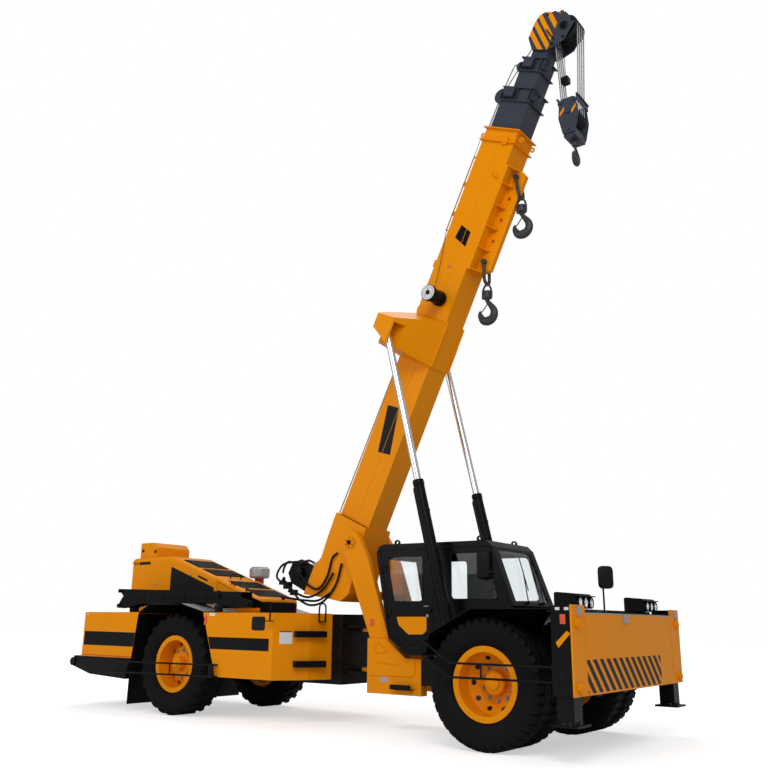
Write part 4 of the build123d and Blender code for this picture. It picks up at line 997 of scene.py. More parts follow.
@dataclass
class RearTrim(SubAssembly):
    """What the rear half carries: bands, steps, hose guides, filler, cleaner, jib and small plates."""

    half_w: float = 1.050
    fender_top_z: float = 1.375
    deck_z: float = 1.267
    jib_y: tuple[float, float] = (-0.850, -0.650)
    step_depth: float = 0.090
    guide_z: tuple[float, float] = (1.165, 1.385)

    def side_slab(self, outline: Points, sign: int, proud: float = PROUD, edge: float = 0.0) -> Surface:
        """A thin plate on one side's flat, from x, z points counted from the front axle."""
        return slab(
            outline, ahead_of_axle(0.0, sign * self.half_w, 0.0), X_DIR, Z_DIR, Y_DIR * sign * proud, edge
        )

    def bend(self, side: Side, along: float, z: float, out: float = 0.0) -> Array:
        """A place on the side body's bent face, counted from its rear edge."""
        start = ahead_of_axle(-2.930, side.value * self.half_w, z)
        end = ahead_of_axle(-2.680, side.value * 0.680, z)
        slide = unit(end - start)
        return start + slide * along + np.array([abs(slide[1]), side.value * slide[0], 0.0]) * out

    def jib(self) -> Surface:
        """The stowed fly jib: two webs with a hollow between, joined by flanges, pins and a fork."""
        outline = (
            (-6.170, 1.590), (-3.700, 1.525), (-3.690, 1.460), (-3.495, 1.400), (-3.505, 1.332),
            (-4.000, 1.322),
            (-4.150, 1.385), (-5.650, 1.385), (-5.980, 1.321), (-6.170, 1.330), (-6.093, 1.436),
            (-6.045, 1.493),
        )
        webs = [
            slab(outline, ahead_of_axle(0.0, y, 0.0), X_DIR, Z_DIR, Y_DIR * 0.012, 0.002)
            for y in (self.jib_y[0], self.jib_y[1] - 0.012)
        ]
        low, high = self.jib_y[0] + 0.012, self.jib_y[1] - 0.012
        flanges = [
            slab(
                ((-6.045, 1.574), (-3.720, 1.512), (-3.720, 1.522), (-6.045, 1.585)),
                ahead_of_axle(0.0, low, 0.0), X_DIR, Z_DIR, Y_DIR * (high - low)
            ),
            block(ahead_of_axle(-5.650, low, 1.386), ahead_of_axle(-4.150, high, 1.396)),
            slab(
                (
                    (-4.150, 1.387), (-4.000, 1.325), (-3.600, 1.332), (-3.600, 1.342), (-3.990, 1.336),
                    (-4.140, 1.397)
                ),
                ahead_of_axle(0.0, low, 0.0), X_DIR, Z_DIR, Y_DIR * (high - low)
            ),
        ]
        ribs = block(
            ahead_of_axle(-5.60, self.jib_y[0] - 0.004, 1.396), ahead_of_axle(-5.588, self.jib_y[0], 1.56)
        ).shifted([(0.42 * k, 0.0, 0.0) for k in range(4)])
        line = tube(
            [
                ahead_of_axle(-5.98, self.jib_y[0] - 0.003, 1.452),
                ahead_of_axle(-3.72, self.jib_y[0] - 0.003, 1.446)
            ],
            0.005, 8
        )
        pins = [
            turned(
                ((0.024, 0.0), (0.024, 0.022), (0.014, 0.026)), ahead_of_axle(x, self.jib_y[0], z), -Y_DIR,
                20
            )
            for x, z in ((-6.12, 1.56), (-6.12, 1.36), (-3.56, 1.37), (-4.10, 1.48))
        ]
        stands = [
            block(ahead_of_axle(x - 0.04, -0.80, z), ahead_of_axle(x + 0.04, -0.70, 1.425))
            for x, z in ((-4.80, 1.3755), (-5.90, 1.2675))
        ]
        return joined(webs + flanges + [ribs, line] + pins + stands)

    def forms(self) -> Iterator[Piece]:
        """The rear half's pieces."""
        bands, reds, whites, reds_dull = [], [], [], []
        for sign in (-1, 1):
            bands.append(
                self.side_slab(((-6.570, 0.822), (-5.484, 0.818), (-5.460, 1.001), (-6.570, 1.007)), sign)
            )
            bands.append(
                self.side_slab(((-3.983, 0.830), (-2.990, 0.828), (-2.990, 0.970), (-4.033, 0.973)), sign)
            )
            reds.append(
                self.side_slab(((-6.595, 0.684), (-5.503, 0.680), (-5.502, 0.690), (-6.595, 0.694)), sign)
            )
            reds_dull.append(
                self.side_slab(rounded(oblong(-4.118, 1.118, -4.072, 1.226), 0.006), sign, 0.006, 0.002)
            )
            whites.append(self.side_slab(rounded(oblong(-4.035, 1.225, -3.930, 1.262), 0.012), sign))
            whites.append(self.side_slab(oblong(-6.555, 1.225, -6.530, 1.250), sign))
        yield Piece("side_bands", joined(bands), BLACK_PAINT, "rear", "black_frame")
        yield Piece("rear_red_lines", joined(reds), BRIGHT_RED, "rear", "orange")
        yield Piece("rear_side_reflectors", joined(reds_dull), REFLECTOR_RED, "rear", "orange")
        window = rounded(oblong(-3.278, 1.066, -3.068, 1.217), 0.028)
        frame_ring = tube(
            [ahead_of_axle(x, -self.half_w - 0.001, z) for x, z in window], 0.005, 8, closed=True
        )
        gauge = [self.side_slab(window, -1, 0.002), frame_ring]
        yield Piece("side_window", joined(gauge), SEAL_RUBBER_AND_HOLE_SHADE, "rear", "plastic")
        slide = unit(self.bend(Side.RIGHT, 1.0, 0.0) - self.bend(Side.RIGHT, 0.0, 0.0))
        out = self.bend(Side.RIGHT, 0.0, 0.0, 1.0) - self.bend(Side.RIGHT, 0.0, 0.0)
        plate = slab(
            rounded(oblong(0.080, 0.913, 0.233, 1.045), 0.006), self.bend(Side.RIGHT, 0.0, 0.0), slide,
            Z_DIR, out * 0.002
        )
        top = slab(
            rounded(oblong(0.080, 1.045, 0.233, 1.063), 0.004), self.bend(Side.RIGHT, 0.0, 0.0), slide,
            Z_DIR, out * 0.002
        )
        yield Piece("blank_plates", joined([plate] + whites), PALE_PLATE, "rear", "orange")
        yield Piece("plate_head", top, BRIGHT_RED, "rear", "orange")
        yield Piece("stowed_jib", self.jib(), BLACK_PAINT, "rear", "black_frame", ("fly_jib",))
        yield from self.fittings()

    def fittings(self) -> Iterator[Piece]:
        """Steps, hose guides, filler cap, air cleaner, chequer plates and tow hook."""
        steps = []
        for side in Side:
            for z in (0.990, 0.650):
                near = ahead_of_axle(-2.790, side.value * 0.840, z)
                far = ahead_of_axle(-2.610, side.value * 0.490, z)
                slide, length = unit(far - near), float(np.linalg.norm(far - near))
                away = np.array([abs(slide[1]), side.value * slide[0], 0.0])
                for a, b, low, high in (
                    (0.0, length, 0.064, 0.072), (0.0, 0.008, 0.0, 0.066),
                    (length - 0.008, length, 0.0, 0.066)
                ):
                    corners = oblong(a, 0.0, b, self.step_depth)
                    steps.append(
                        slab(corners, near + Z_DIR * low, slide, away, Z_DIR * (high - low), 0.001)
                    )
                lip = oblong(0.0, self.step_depth - 0.008, length, self.step_depth)
                steps.append(slab(lip, near, slide, away, Z_DIR * 0.070, 0.001))
            end = (
                ahead_of_axle(-3.918, side.value * 1.100, 0.495),
                ahead_of_axle(-3.849, side.value * 1.124, 0.660)
            )
            steps.append(block(*end, 0.002))
            lining = ((-5.505, 0.672), (-5.500, 0.672), (-5.4225, 1.248), (-5.4275, 1.248))
            start = ahead_of_axle(0.004, side.value * 0.395, 0.0)
            steps.append(slab(lining, start, X_DIR, Z_DIR, Y_DIR * side.value * 0.656))
        rod = self.bend(Side.RIGHT, -0.05, 0.0, 0.024)
        low, high = self.guide_z
        guide = [tube([rod + Z_DIR * low, rod + Z_DIR * high], 0.010)]
        hoop_foot = ahead_of_axle(-2.630, -0.530, 0.0)
        face = np.array([math.cos(math.radians(71.6)), math.sin(math.radians(71.6)), 0.0])
        hoop_foot = hoop_foot + np.array([face[1], -face[0], 0.0]) * 0.024
        hoop = [
            hoop_foot + face * a + Z_DIR * z
            for a, z in (
                (-0.045, low), (-0.045, high - 0.06), (-0.03, high - 0.012), (0.0, high),
                (0.03, high - 0.012), (0.045, high - 0.06), (0.045, low)
            )
        ]
        guide.append(tube(curve(hoop, 40), 0.010))
        for foot in (rod, hoop_foot):
            guide.append(
                block(foot + np.array([-0.05, -0.022, low]), foot + np.array([0.05, 0.022, low + 0.012]))
            )
        yield Piece("rear_steps", joined(steps + guide), BLACK_PAINT, "rear", "black_frame")
        cap = ((0.050, 0.0), (0.050, 0.050), (0.063, 0.054), (0.063, 0.078), (0.052, 0.090), (0.001, 0.092))
        filler = turned(cap, ahead_of_axle(-3.990, -0.935, self.deck_z), Z_DIR)
        yield Piece("filler_cap", filler, DARK_PLASTIC_AND_SLOT_SHADE, "rear", "plastic")
        head = (
            (0.060, 0.395), (0.128, 0.400), (0.134, 0.412), (0.146, 0.420), (0.149, 0.500), (0.146, 0.532),
            (0.128, 0.545), (0.118, 0.560), (0.001, 0.564)
        )
        centre = ahead_of_axle(-4.757, 0.550, self.fender_top_z)
        cleaner = [turned(head, centre, Z_DIR, 56)]
        yield Piece("cleaner_cap", joined(cleaner), GREY_METAL, "rear", "plastic", ("pre_cleaner",))
        stalk = turned(((0.068, 0.0005), (0.068, 0.40)), centre, Z_DIR)
        yield Piece("cleaner_stalk", stalk, BRIGHT_RED, "rear", "orange")
        for side in Side:
            yield self.chequer_plate(side)
        shank = curve(
            [
                ahead_of_axle(x, -0.72, z)
                for x, z in ((-6.12, 0.46), (-6.10, 0.425), (-6.03, 0.41), (-5.98, 0.44), (-5.98, 0.47))
            ],
            24
        )
        yield Piece("tow_hook", tube(shank, 0.022), BLACK_PAINT, "rear", "black_frame")

    def chequer_plate(self, side: Side) -> Piece:
        """A grey plate on the fender's front slope, with rows of small raised lozenges turned each way."""
        high = ahead_of_axle(-4.560, 0.0, self.fender_top_z)
        low = ahead_of_axle(-4.140, 0.0, 1.279)
        down = unit(low - high)
        up = np.array([-down[2], 0.0, down[0]])
        inner, outer = side.value * 0.400, side.value * 1.048
        length = float(np.linalg.norm(low - high))
        sheet = slab(oblong(0.0, inner, length, outer), high + up * 0.001, down, Y_DIR, up * 0.003)
        lozenge = ((-0.011, 0.0), (0.0, -0.003), (0.011, 0.0), (0.0, 0.003))
        one = slab(lozenge, high + up * 0.004, unit(down + Y_DIR), unit(Y_DIR - down), up * 0.0016)
        other = slab(lozenge, high + up * 0.004, unit(down - Y_DIR), unit(Y_DIR + down), up * 0.0016)
        across = np.arange(min(inner, outer) + 0.02, max(inner, outer) - 0.01, 0.034)
        along = np.arange(0.018, length - 0.01, 0.034)
        a, b = np.meshgrid(along, across, indexing="ij")
        spots = a.reshape(-1, 1) * down + b.reshape(-1, 1) * Y_DIR
        even = (np.add.outer(np.arange(len(along)), np.arange(len(across))) % 2).reshape(-1) == 0
        form = joined([sheet, one.shifted(spots[even]), other.shifted(spots[~even])])
        return Piece(f"chequer_plate_{side.label}", form, GREY_METAL, "rear", "steel", crease=20.0)


# Front half


@dataclass
class FrontPlate(SubAssembly):
    """Stripes, clips, blank tags and reflectors on the front plate and its end tubes."""

    face_x: float = 1.041
    half_y: float = 1.460
    slope: tuple[float, float] = (0.281, -0.281)
    first: float = -0.120
    pitch: float = 0.111
    width: float = 0.058

    def on_plate(self, outline: Points, proud: float = PROUD, edge: float = 0.0) -> Surface:
        """A thin plate on the front face, from its y, z points."""
        return slab(outline, ahead_of_axle(self.face_x, 0.0, 0.0), Y_DIR, Z_DIR, X_DIR * proud, edge)

    def forms(self) -> Iterator[Piece]:
        """The plate's pieces."""
        region = oblong(-1.175, 0.580, 0.770, 0.868)
        found = [band(region, self.slope, self.first + self.pitch * k, self.width) for k in range(-3, 12)]
        stripes = joined([self.on_plate(outline) for outline in found if outline is not None])
        yield Piece("plate_stripes", stripes, BLACK_PAINT, "front", "black_frame")
        edge = self.on_plate(oblong(-1.178, 1.268, 1.178, 1.279), 0.003, 0.001)
        seam = [self.on_plate(oblong(y, 0.565, y + 0.006, 1.343), 0.004, 0.001) for y in (-1.181, 1.175)]
        clips = [
            self.on_plate(oblong(y, z, y + w, z + 0.085), 0.020, 0.003)
            for y, z, w in ((-1.343, 1.253, 0.062), (1.300, 1.250, 0.062), (-0.248, 1.190, 0.110))
        ]
        yield Piece("plate_edges", joined([edge] + clips), GREY_METAL, "front", "steel")
        yield Piece("plate_folds", joined(seam), ORANGE_PAINT, "front", "orange")
        bosses = []
        for y in (-1.350, 1.350):
            for z in (0.633, 1.185):
                profile = ((0.046, 0.020), (0.043, 0.026), (0.020, 0.027), (0.019, 0.036), (0.001, 0.037))
                bosses.append(turned(profile, ahead_of_axle(self.face_x, y, z), X_DIR))
        yield Piece("plate_bosses", joined(bosses), ORANGE_PAINT, "front", "orange")
        for side in Side:
            yield from self.leg_trim(side)

    def leg_trim(self, side: Side) -> Iterator[Piece]:
        """Tags, reflector and slanted bar on one end tube, and the ankle above the foot."""
        y = side.value * (self.half_y - 0.035 + 0.001)
        out = Y_DIR * side.value

        def on_tube(outline: Points, proud: float = PROUD) -> Surface:
            """A thin plate on the tube's outer face, from its x, z points."""
            return slab(outline, ahead_of_axle(0.0, y, 0.0), X_DIR, Z_DIR, out * proud)

        tags = [on_tube(oblong(x, 1.297, x + 0.043, 1.322)) for x in (0.870, 0.958)]
        yield Piece(f"tube_tags_{side.label}", joined(tags), PALE_PLATE, "front", "orange")
        lens = rounded(oblong(0.915, 1.176, 0.968, 1.261), 0.008)
        bar = ((0.865, 1.015), (0.889, 0.972), (1.008, 1.095), (0.974, 1.118))
        yield Piece(f"tube_reflector_{side.label}", on_tube(lens, 0.006), REFLECTOR_RED, "front", "orange")
        yield Piece(f"tube_bar_{side.label}", on_tube(bar), ORANGE_PAINT, "front", "orange")
        leg = f"leg_{side.label}"
        middle = ahead_of_axle(0.9225, side.value * 1.320, 0.330)
        foot = ((0.105, 0.0), (0.098, 0.022), (0.070, 0.030), (0.052, 0.070), (0.050, 0.080))
        yield Piece(
            f"ankle_{side.label}", turned(foot, middle + Z_DIR * 0.0005, Z_DIR), BLACK_PAINT, leg,
            "black_frame"
        )


@dataclass
class LampBox(SubAssembly):
    """One lamp box: a sloped case with a cut inboard corner and three round lamps."""

    side: Side
    x: tuple[float, float] = (0.700, 0.920)
    y: tuple[float, float] = (0.700, 1.085)
    low_z: float = 1.3203
    lamp_r: float = 0.050

    def forms(self) -> Iterator[Piece]:
        """The case with its hood, the lamps' rims and bowls, and their lenses."""
        sign, label = self.side.value, self.side.label
        z = self.low_z
        outline = (
            (0.700, z), (0.920, z), (0.920, z + 0.098), (0.905, z + 0.135), (0.720, z + 0.150),
            (0.700, z + 0.140)
        )
        wide = slab(
            rounded(outline, 0.008), ahead_of_axle(0.0, sign * self.y[0], 0.0), X_DIR, Z_DIR,
            Y_DIR * sign * (self.y[1] - self.y[0]), 0.004
        )
        lip = block(
            ahead_of_axle(0.900, sign * self.y[0], z + 0.108),
            ahead_of_axle(0.958, sign * self.y[1], z + 0.118), 0.003
        )
        replaced = ("lamp_boxes",) if self.side is Side.RIGHT else ()
        yield Piece(
            f"lamp_case_{label}", joined([wide, lip]), BLACK_PAINT, "front", "black_frame", replaced
        )
        rims, bowls, lenses = [], [], []
        for y in (self.y[0] + 0.066, 0.5 * (self.y[0] + self.y[1]), self.y[1] - 0.066):
            centre = ahead_of_axle(self.x[1], sign * y, z + 0.054)
            r = self.lamp_r
            rims.append(
                turned(
                    (
                        (r + 0.004, 0.0), (r + 0.004, 0.024), (r - 0.003, 0.028), (r - 0.004, 0.012),
                        (0.001, 0.010)
                    ),
                    centre, X_DIR
                )
            )
            bowls.append(
                turned(
                    (
                        (r - 0.006, 0.018), (0.75 * r, 0.0135), (0.3 * r, 0.0115), (0.26 * r, 0.020),
                        (0.001, 0.021)
                    ),
                    centre, X_DIR
                )
            )
            lenses.append(
                turned(
                    ((r - 0.004, 0.020), (r - 0.004, 0.024), (0.6 * r, 0.029), (0.001, 0.031)), centre,
                    X_DIR
                )
            )
        yield Piece(f"lamp_rims_{label}", joined(rims), DARK_PLASTIC_AND_SLOT_SHADE, "front", "plastic")
        yield Piece(f"lamp_bowls_{label}", joined(bowls), ROD_CHROME, "front", "chrome")
        yield Piece(f"lamp_lenses_{label}", joined(lenses), LENS_GLASS, "front", "glass")


@dataclass
class Mirrors(SubAssembly):
    """The plate's mirror on its bent stalk, and the cab's mirror on its bracket."""

    def head(self, centre: Array, size: tuple[float, float], turn: float) -> tuple[Surface, Surface]:
        """A domed case and its glass, for a mirror of a width and a height turned about the upright."""
        width, height = size
        across = np.array([math.cos(turn), math.sin(turn), 0.0])
        back = np.array([across[1], -across[0], 0.0])
        flat = np.array([(-width, -height), (width, -height), (width, height), (-width, height)]) / 2.0
        base = rounded(flat, 0.050)
        rings = ((0.0, -0.018), (0.0, 0.0), (0.006, 0.012), (0.016, 0.021), (0.030, 0.026))
        levels = [
            centre + inset(base, a)[:, :1] * across + inset(base, a)[:, 1:] * Z_DIR + back * b
            for a, b in rings
        ]
        case = grid_surface(np.stack(levels), around_columns=True, capped=True)
        return case, slab(inset(base, 0.008), centre - back * 0.018, across, Z_DIR, -back * 0.002)

    def forms(self) -> Iterator[Piece]:
        """Stalks, cases and glasses."""
        stalk = curve_ahead(
            (
                (1.000, -0.600, 1.2905), (1.000, -0.600, 1.42), (1.000, -0.598, 1.55),
                (1.006, -0.550, 1.605), (1.008, -0.520, 1.615)
            ),
            30
        )
        front_case, front_glass = self.head(
            ahead_of_axle(1.000, -0.520, 1.625), (0.150, 0.220), math.radians(40.0)
        )
        arm = curve_ahead(
            (
                (-0.310, -0.489, 1.88), (-0.320, -0.515, 1.885), (-0.345, -0.540, 1.875),
                (-0.366, -0.540, 1.84)
            ),
            24
        )
        low_arm = curve_ahead(
            (
                (-0.255, -0.489, 1.70), (-0.28, -0.515, 1.70), (-0.330, -0.540, 1.715),
                (-0.366, -0.540, 1.74)
            ),
            24
        )
        cab_case, cab_glass = self.head(
            ahead_of_axle(-0.366, -0.535, 1.78), (0.150, 0.300), math.radians(20.0)
        )
        foot = turned(
            ((0.030, 0.0), (0.028, 0.010), (0.012, 0.014)), ahead_of_axle(1.000, -0.600, 1.2905), Z_DIR
        )
        bars = [tube(stalk, 0.009), tube(arm, 0.008), tube(low_arm, 0.008), foot]
        yield Piece(
            "mirror_cases", joined(bars + [front_case, cab_case]), DARK_PLASTIC_AND_SLOT_SHADE, "front", "plastic",
            ("mirrors",)
        )
        yield Piece("mirror_glasses", joined([front_glass, cab_glass]), ROD_CHROME, "front", "chrome")


@dataclass
class CabTrim(SubAssembly):
    """Rounded window frames, seals, the door's panel and handle, gutters, wiper, seat and grips."""

    half_w: float = 0.490

    def ring(self, hole: Points, opening: Points, radius: float, y: float, out: float) -> Surface:
        """A frame that fills an opening up to a rounded hole: inner and outer line, near and far face.

        For each point of the hole's line, the outer line's point is that of the opening with the same
        share of its own rounded corners, so both lines have as many points.
        """
        inner, outer = rounded(hole, radius), rounded(opening, 0.004)
        lines = ((outer, 0.0), (inner, 0.0), (inner, out), (outer, out))
        levels = [
            np.column_stack([FRONT_AXLE_X + line[:, 0], np.full(len(line), y + drop), line[:, 1]])
            for line, drop in lines
        ]
        return grid_surface(np.stack(levels), around_rows=True, around_columns=True)

    def seal(self, hole: Points, radius: float, y: float) -> Surface:
        """A rubber bead round a hole."""
        line = rounded(hole, radius)
        places = np.column_stack([FRONT_AXLE_X + line[:, 0], np.full(len(line), y), line[:, 1]])
        keep = np.linalg.norm(places - np.roll(places, 1, axis=0), axis=1) > 1e-5
        return tube(places[keep], 0.007, 8, closed=True)

    def forms(self) -> Iterator[Piece]:
        """The cab's pieces."""
        window = ((-0.820, 1.410), (-0.150, 1.410), (-0.340, 1.945), (-0.820, 1.945))
        hole = ((-0.805, 1.425), (-0.215, 1.425), (-0.355, 1.930), (-0.805, 1.930))
        pane = ((-1.620, 1.385), (-1.160, 1.385), (-1.160, 1.930), (-1.690, 1.930))
        door_hole = ((-1.602, 1.402), (-1.175, 1.402), (-1.175, 1.915), (-1.668, 1.915))
        for sign in (-1, 1):
            label = Side(sign).label
            frames = [self.ring(hole, window, 0.060, sign * self.half_w, -sign * 0.012)]
            beads = [self.seal(hole, 0.060, sign * (self.half_w + 0.001))]
            if sign > 0:
                frames.append(self.ring(door_hole, pane, 0.060, sign * self.half_w, -sign * 0.012))
                beads.append(self.seal(door_hole, 0.060, sign * (self.half_w + 0.001)))
            yield Piece(f"window_frames_{label}", joined(frames), BLACK_PAINT, "front", "black_frame")
            yield Piece(f"window_seals_{label}", joined(beads), SEAL_RUBBER_AND_HOLE_SHADE, "front", "plastic")
        door_frame = self.ring(door_hole, pane, 0.060, -self.half_w, 0.012)
        yield Piece("door_window_frame", door_frame, BLACK_PAINT, "door", "black_frame")
        yield Piece(
            "door_window_seal", self.seal(door_hole, 0.060, -self.half_w - 0.001), SEAL_RUBBER_AND_HOLE_SHADE, "door",
            "plastic"
        )
        panel = (
            (-1.537, 1.235), (-1.509, 1.145), (-1.373, 1.043), (-1.180, 1.048), (-1.130, 1.090),
            (-1.130, 1.238)
        )
        near = ahead_of_axle(0.0, -self.half_w, 0.0)
        yield Piece(
            "door_panel", slab(rounded(panel, 0.012), near, X_DIR, Z_DIR, -Y_DIR * 0.004, 0.001),
            ORANGE_PAINT, "door", "orange"
        )
        grip = curve_ahead(
            (
                (-1.145, -0.488, 1.345), (-1.145, -0.520, 1.350), (-1.120, -0.526, 1.352),
                (-1.090, -0.520, 1.350), (-1.088, -0.488, 1.345)
            ),
            24
        )
        yield Piece(
            "door_grip",
            joined(
                [
                    tube(grip, 0.007),
                    turned(
                        ((0.017, 0.0), (0.015, 0.010)), ahead_of_axle(-1.115, -self.half_w, 1.250), -Y_DIR
                    )
                ]
            ),
            BARE_STEEL, "door", "steel"
        )
        bars = []
        for sign in (-1, 1):
            gutter = [
                ahead_of_axle(x, sign * (self.half_w + 0.004), z)
                for x, z in ((-1.760, 1.985), (-1.700, 1.992), (-0.420, 1.992), (-0.300, 1.960))
            ]
            bars.append(tube(curve(gutter, 40), 0.008, 8))
        rail = curve_ahead(
            (
                (-0.110, -0.480, 1.42), (-0.075, -0.488, 1.40), (-0.075, -0.488, 1.25),
                (-0.075, -0.488, 1.10)
            ),
            24
        )
        bars.append(tube(rail, 0.010))
        low, high = np.array([2.845, 0.0, 1.400]), np.array([2.635, 0.0, 1.945])
        lean = unit(high - low)
        out = np.array([lean[2], 0.0, -lean[0]])
        for y in (-0.16, 0.20):
            foot = low - lean * 0.012 + out * 0.020 + Y_DIR * y
            tip = low + lean * 0.36 + out * 0.016 + Y_DIR * (y + 0.16)
            bars.append(tube([foot, tip], 0.006, 8))
            bars.append(
                tube(
                    [
                        low + lean * 0.13 + out * 0.012 + Y_DIR * (y + 0.12),
                        low + lean * 0.52 + out * 0.012 + Y_DIR * (y + 0.19)
                    ],
                    0.006, 8
                )
            )
            bars.append(turned(((0.016, -0.02), (0.016, 0.012), (0.008, 0.016)), foot, out))
        yield Piece("cab_gutters_and_wipers", joined(bars), DARK_PLASTIC_AND_SLOT_SHADE, "front", "plastic")

    def build(self) -> None:
        """Make the pieces, and the seat's cushions apart: they are padded."""
        super().build()
        for name, centre, half, lean in (
            ("seat_cushion", (-1.075, 0.0, 1.235), (0.225, 0.232, 0.058), 0.0),
            ("seat_back", (-1.292, 0.0, 1.575), (0.068, 0.214, 0.282), -0.192),
        ):
            piece = Piece(
                name, self.cushion(np.array(centre), np.array(half), lean), SEAT_CLOTH, "front", "seat",
                ("cab_seat",) if name == "seat_back" else ()
            )
            made = piece.make()
            self.dress(made, piece)
            log.info("%s: %d faces on %s", name, len(made.data.polygons), piece.body)
        foot = Piece(
            "seat_stand", block(ahead_of_axle(-1.240, -0.160, 0.870), ahead_of_axle(-0.940, 0.160, 1.185)),
            DARK_PLASTIC_AND_SLOT_SHADE, "front", "plastic"
        )
        self.dress(foot.make(), foot)

    def cushion(self, centre: Array, half: Array, lean: float) -> Surface:
        """A crowned pad: centre + half times sign(c) |c|^0.4 of a ball's c, leaned back by z times lean."""
        v, u = np.meshgrid(
            np.linspace(-math.pi / 2, math.pi / 2, 41), np.linspace(0, 2 * math.pi, 72, endpoint=False),
            indexing="ij"
        )
        ball = np.stack([np.cos(v) * np.cos(u), np.cos(v) * np.sin(u), np.sin(v)], axis=-1)
        points = np.sign(ball) * np.abs(ball) ** 0.40 * half
        points[..., 0] += lean * points[..., 2]
        return grid_surface(points + centre + X_DIR * FRONT_AXLE_X, around_columns=True)


@dataclass
class SupportTrim(SubAssembly):
    """Bolts, tags, a small step and reflectors on the boom's supports."""

    arm_y: float = 0.350
    foot_y: float = 0.400

    def forms(self) -> Iterator[Piece]:
        """The trim of both sides."""
        for side in Side:
            sign, label = side.value, side.label
            out = Y_DIR * sign
            pivot = np.array([PIVOT[0], sign * 0.372, PIVOT[2]])
            cap = turned(((0.075, -0.0215), (0.075, -0.006), (0.062, 0.002), (0.001, 0.003)), pivot, out)
            pin = turned(((0.030, 0.003), (0.028, 0.018), (0.001, 0.019)), pivot, out)
            bolts = turned(
                ((0.009, 0.0), (0.009, 0.008)), pivot + Z_DIR * 0.056 - out * 0.004, out, 6
            ).round_axle(pivot, 6)
            yield Piece(f"pivot_cap_{label}", cap, ORANGE_PAINT, "boom", "orange")
            yield Piece(f"pivot_bolt_{label}", joined([pin, bolts]), BLACK_PAINT, "boom", "black_frame")
            at_arm = ahead_of_axle(0.0, sign * self.arm_y, 0.0)
            at_foot = ahead_of_axle(0.0, sign * self.foot_y, 0.0)
            lens = rounded(oblong(-2.025, 1.128, -1.964, 1.210), 0.008)
            raised = (
                ((-1.898, 0.922), (-1.848, 0.940), (-1.723, 0.844), (-1.896, 0.827)),
                ((-1.903, 0.731), (-1.560, 0.705)),
                ((-1.975, 0.583), (-1.394, 0.589), (-1.347, 0.621), (-1.348, 0.768)),
            )
            beads = []
            for k, line in enumerate(raised):
                path = [at_foot + X_DIR * x + Z_DIR * z + out * 0.001 for x, z in line]
                beads.append(tube(rounded_path(path, 0.02) if k else path, 0.007, 8, closed=k == 0))
            yield Piece(f"support_relief_{label}", joined(beads), ORANGE_PAINT, "front", "orange")
            tag = oblong(-1.831, 0.516, -1.719, 0.570)
            yield Piece(
                f"support_tag_{label}", slab(tag, at_foot, X_DIR, Z_DIR, out * PROUD), GREY_METAL, "front",
                "steel"
            )
            tread = [
                block(
                    at_foot + np.array([-1.638, sign * 0.001, 0.446]),
                    at_foot + np.array([-1.355, sign * 0.080, 0.454]), 0.001
                )
            ]
            tread.append(
                block(
                    at_foot + np.array([-1.638, sign * 0.072, 0.446]),
                    at_foot + np.array([-1.355, sign * 0.080, 0.500]), 0.001
                )
            )
            yield Piece(f"support_step_{label}", joined(tread), BLACK_PAINT, "front", "black_frame")
            yield Piece(
                f"support_reflector_{label}", slab(lens, at_arm, X_DIR, Z_DIR, out * 0.005, 0.001),
                REFLECTOR_RED, "front", "orange"
            )


# Boom


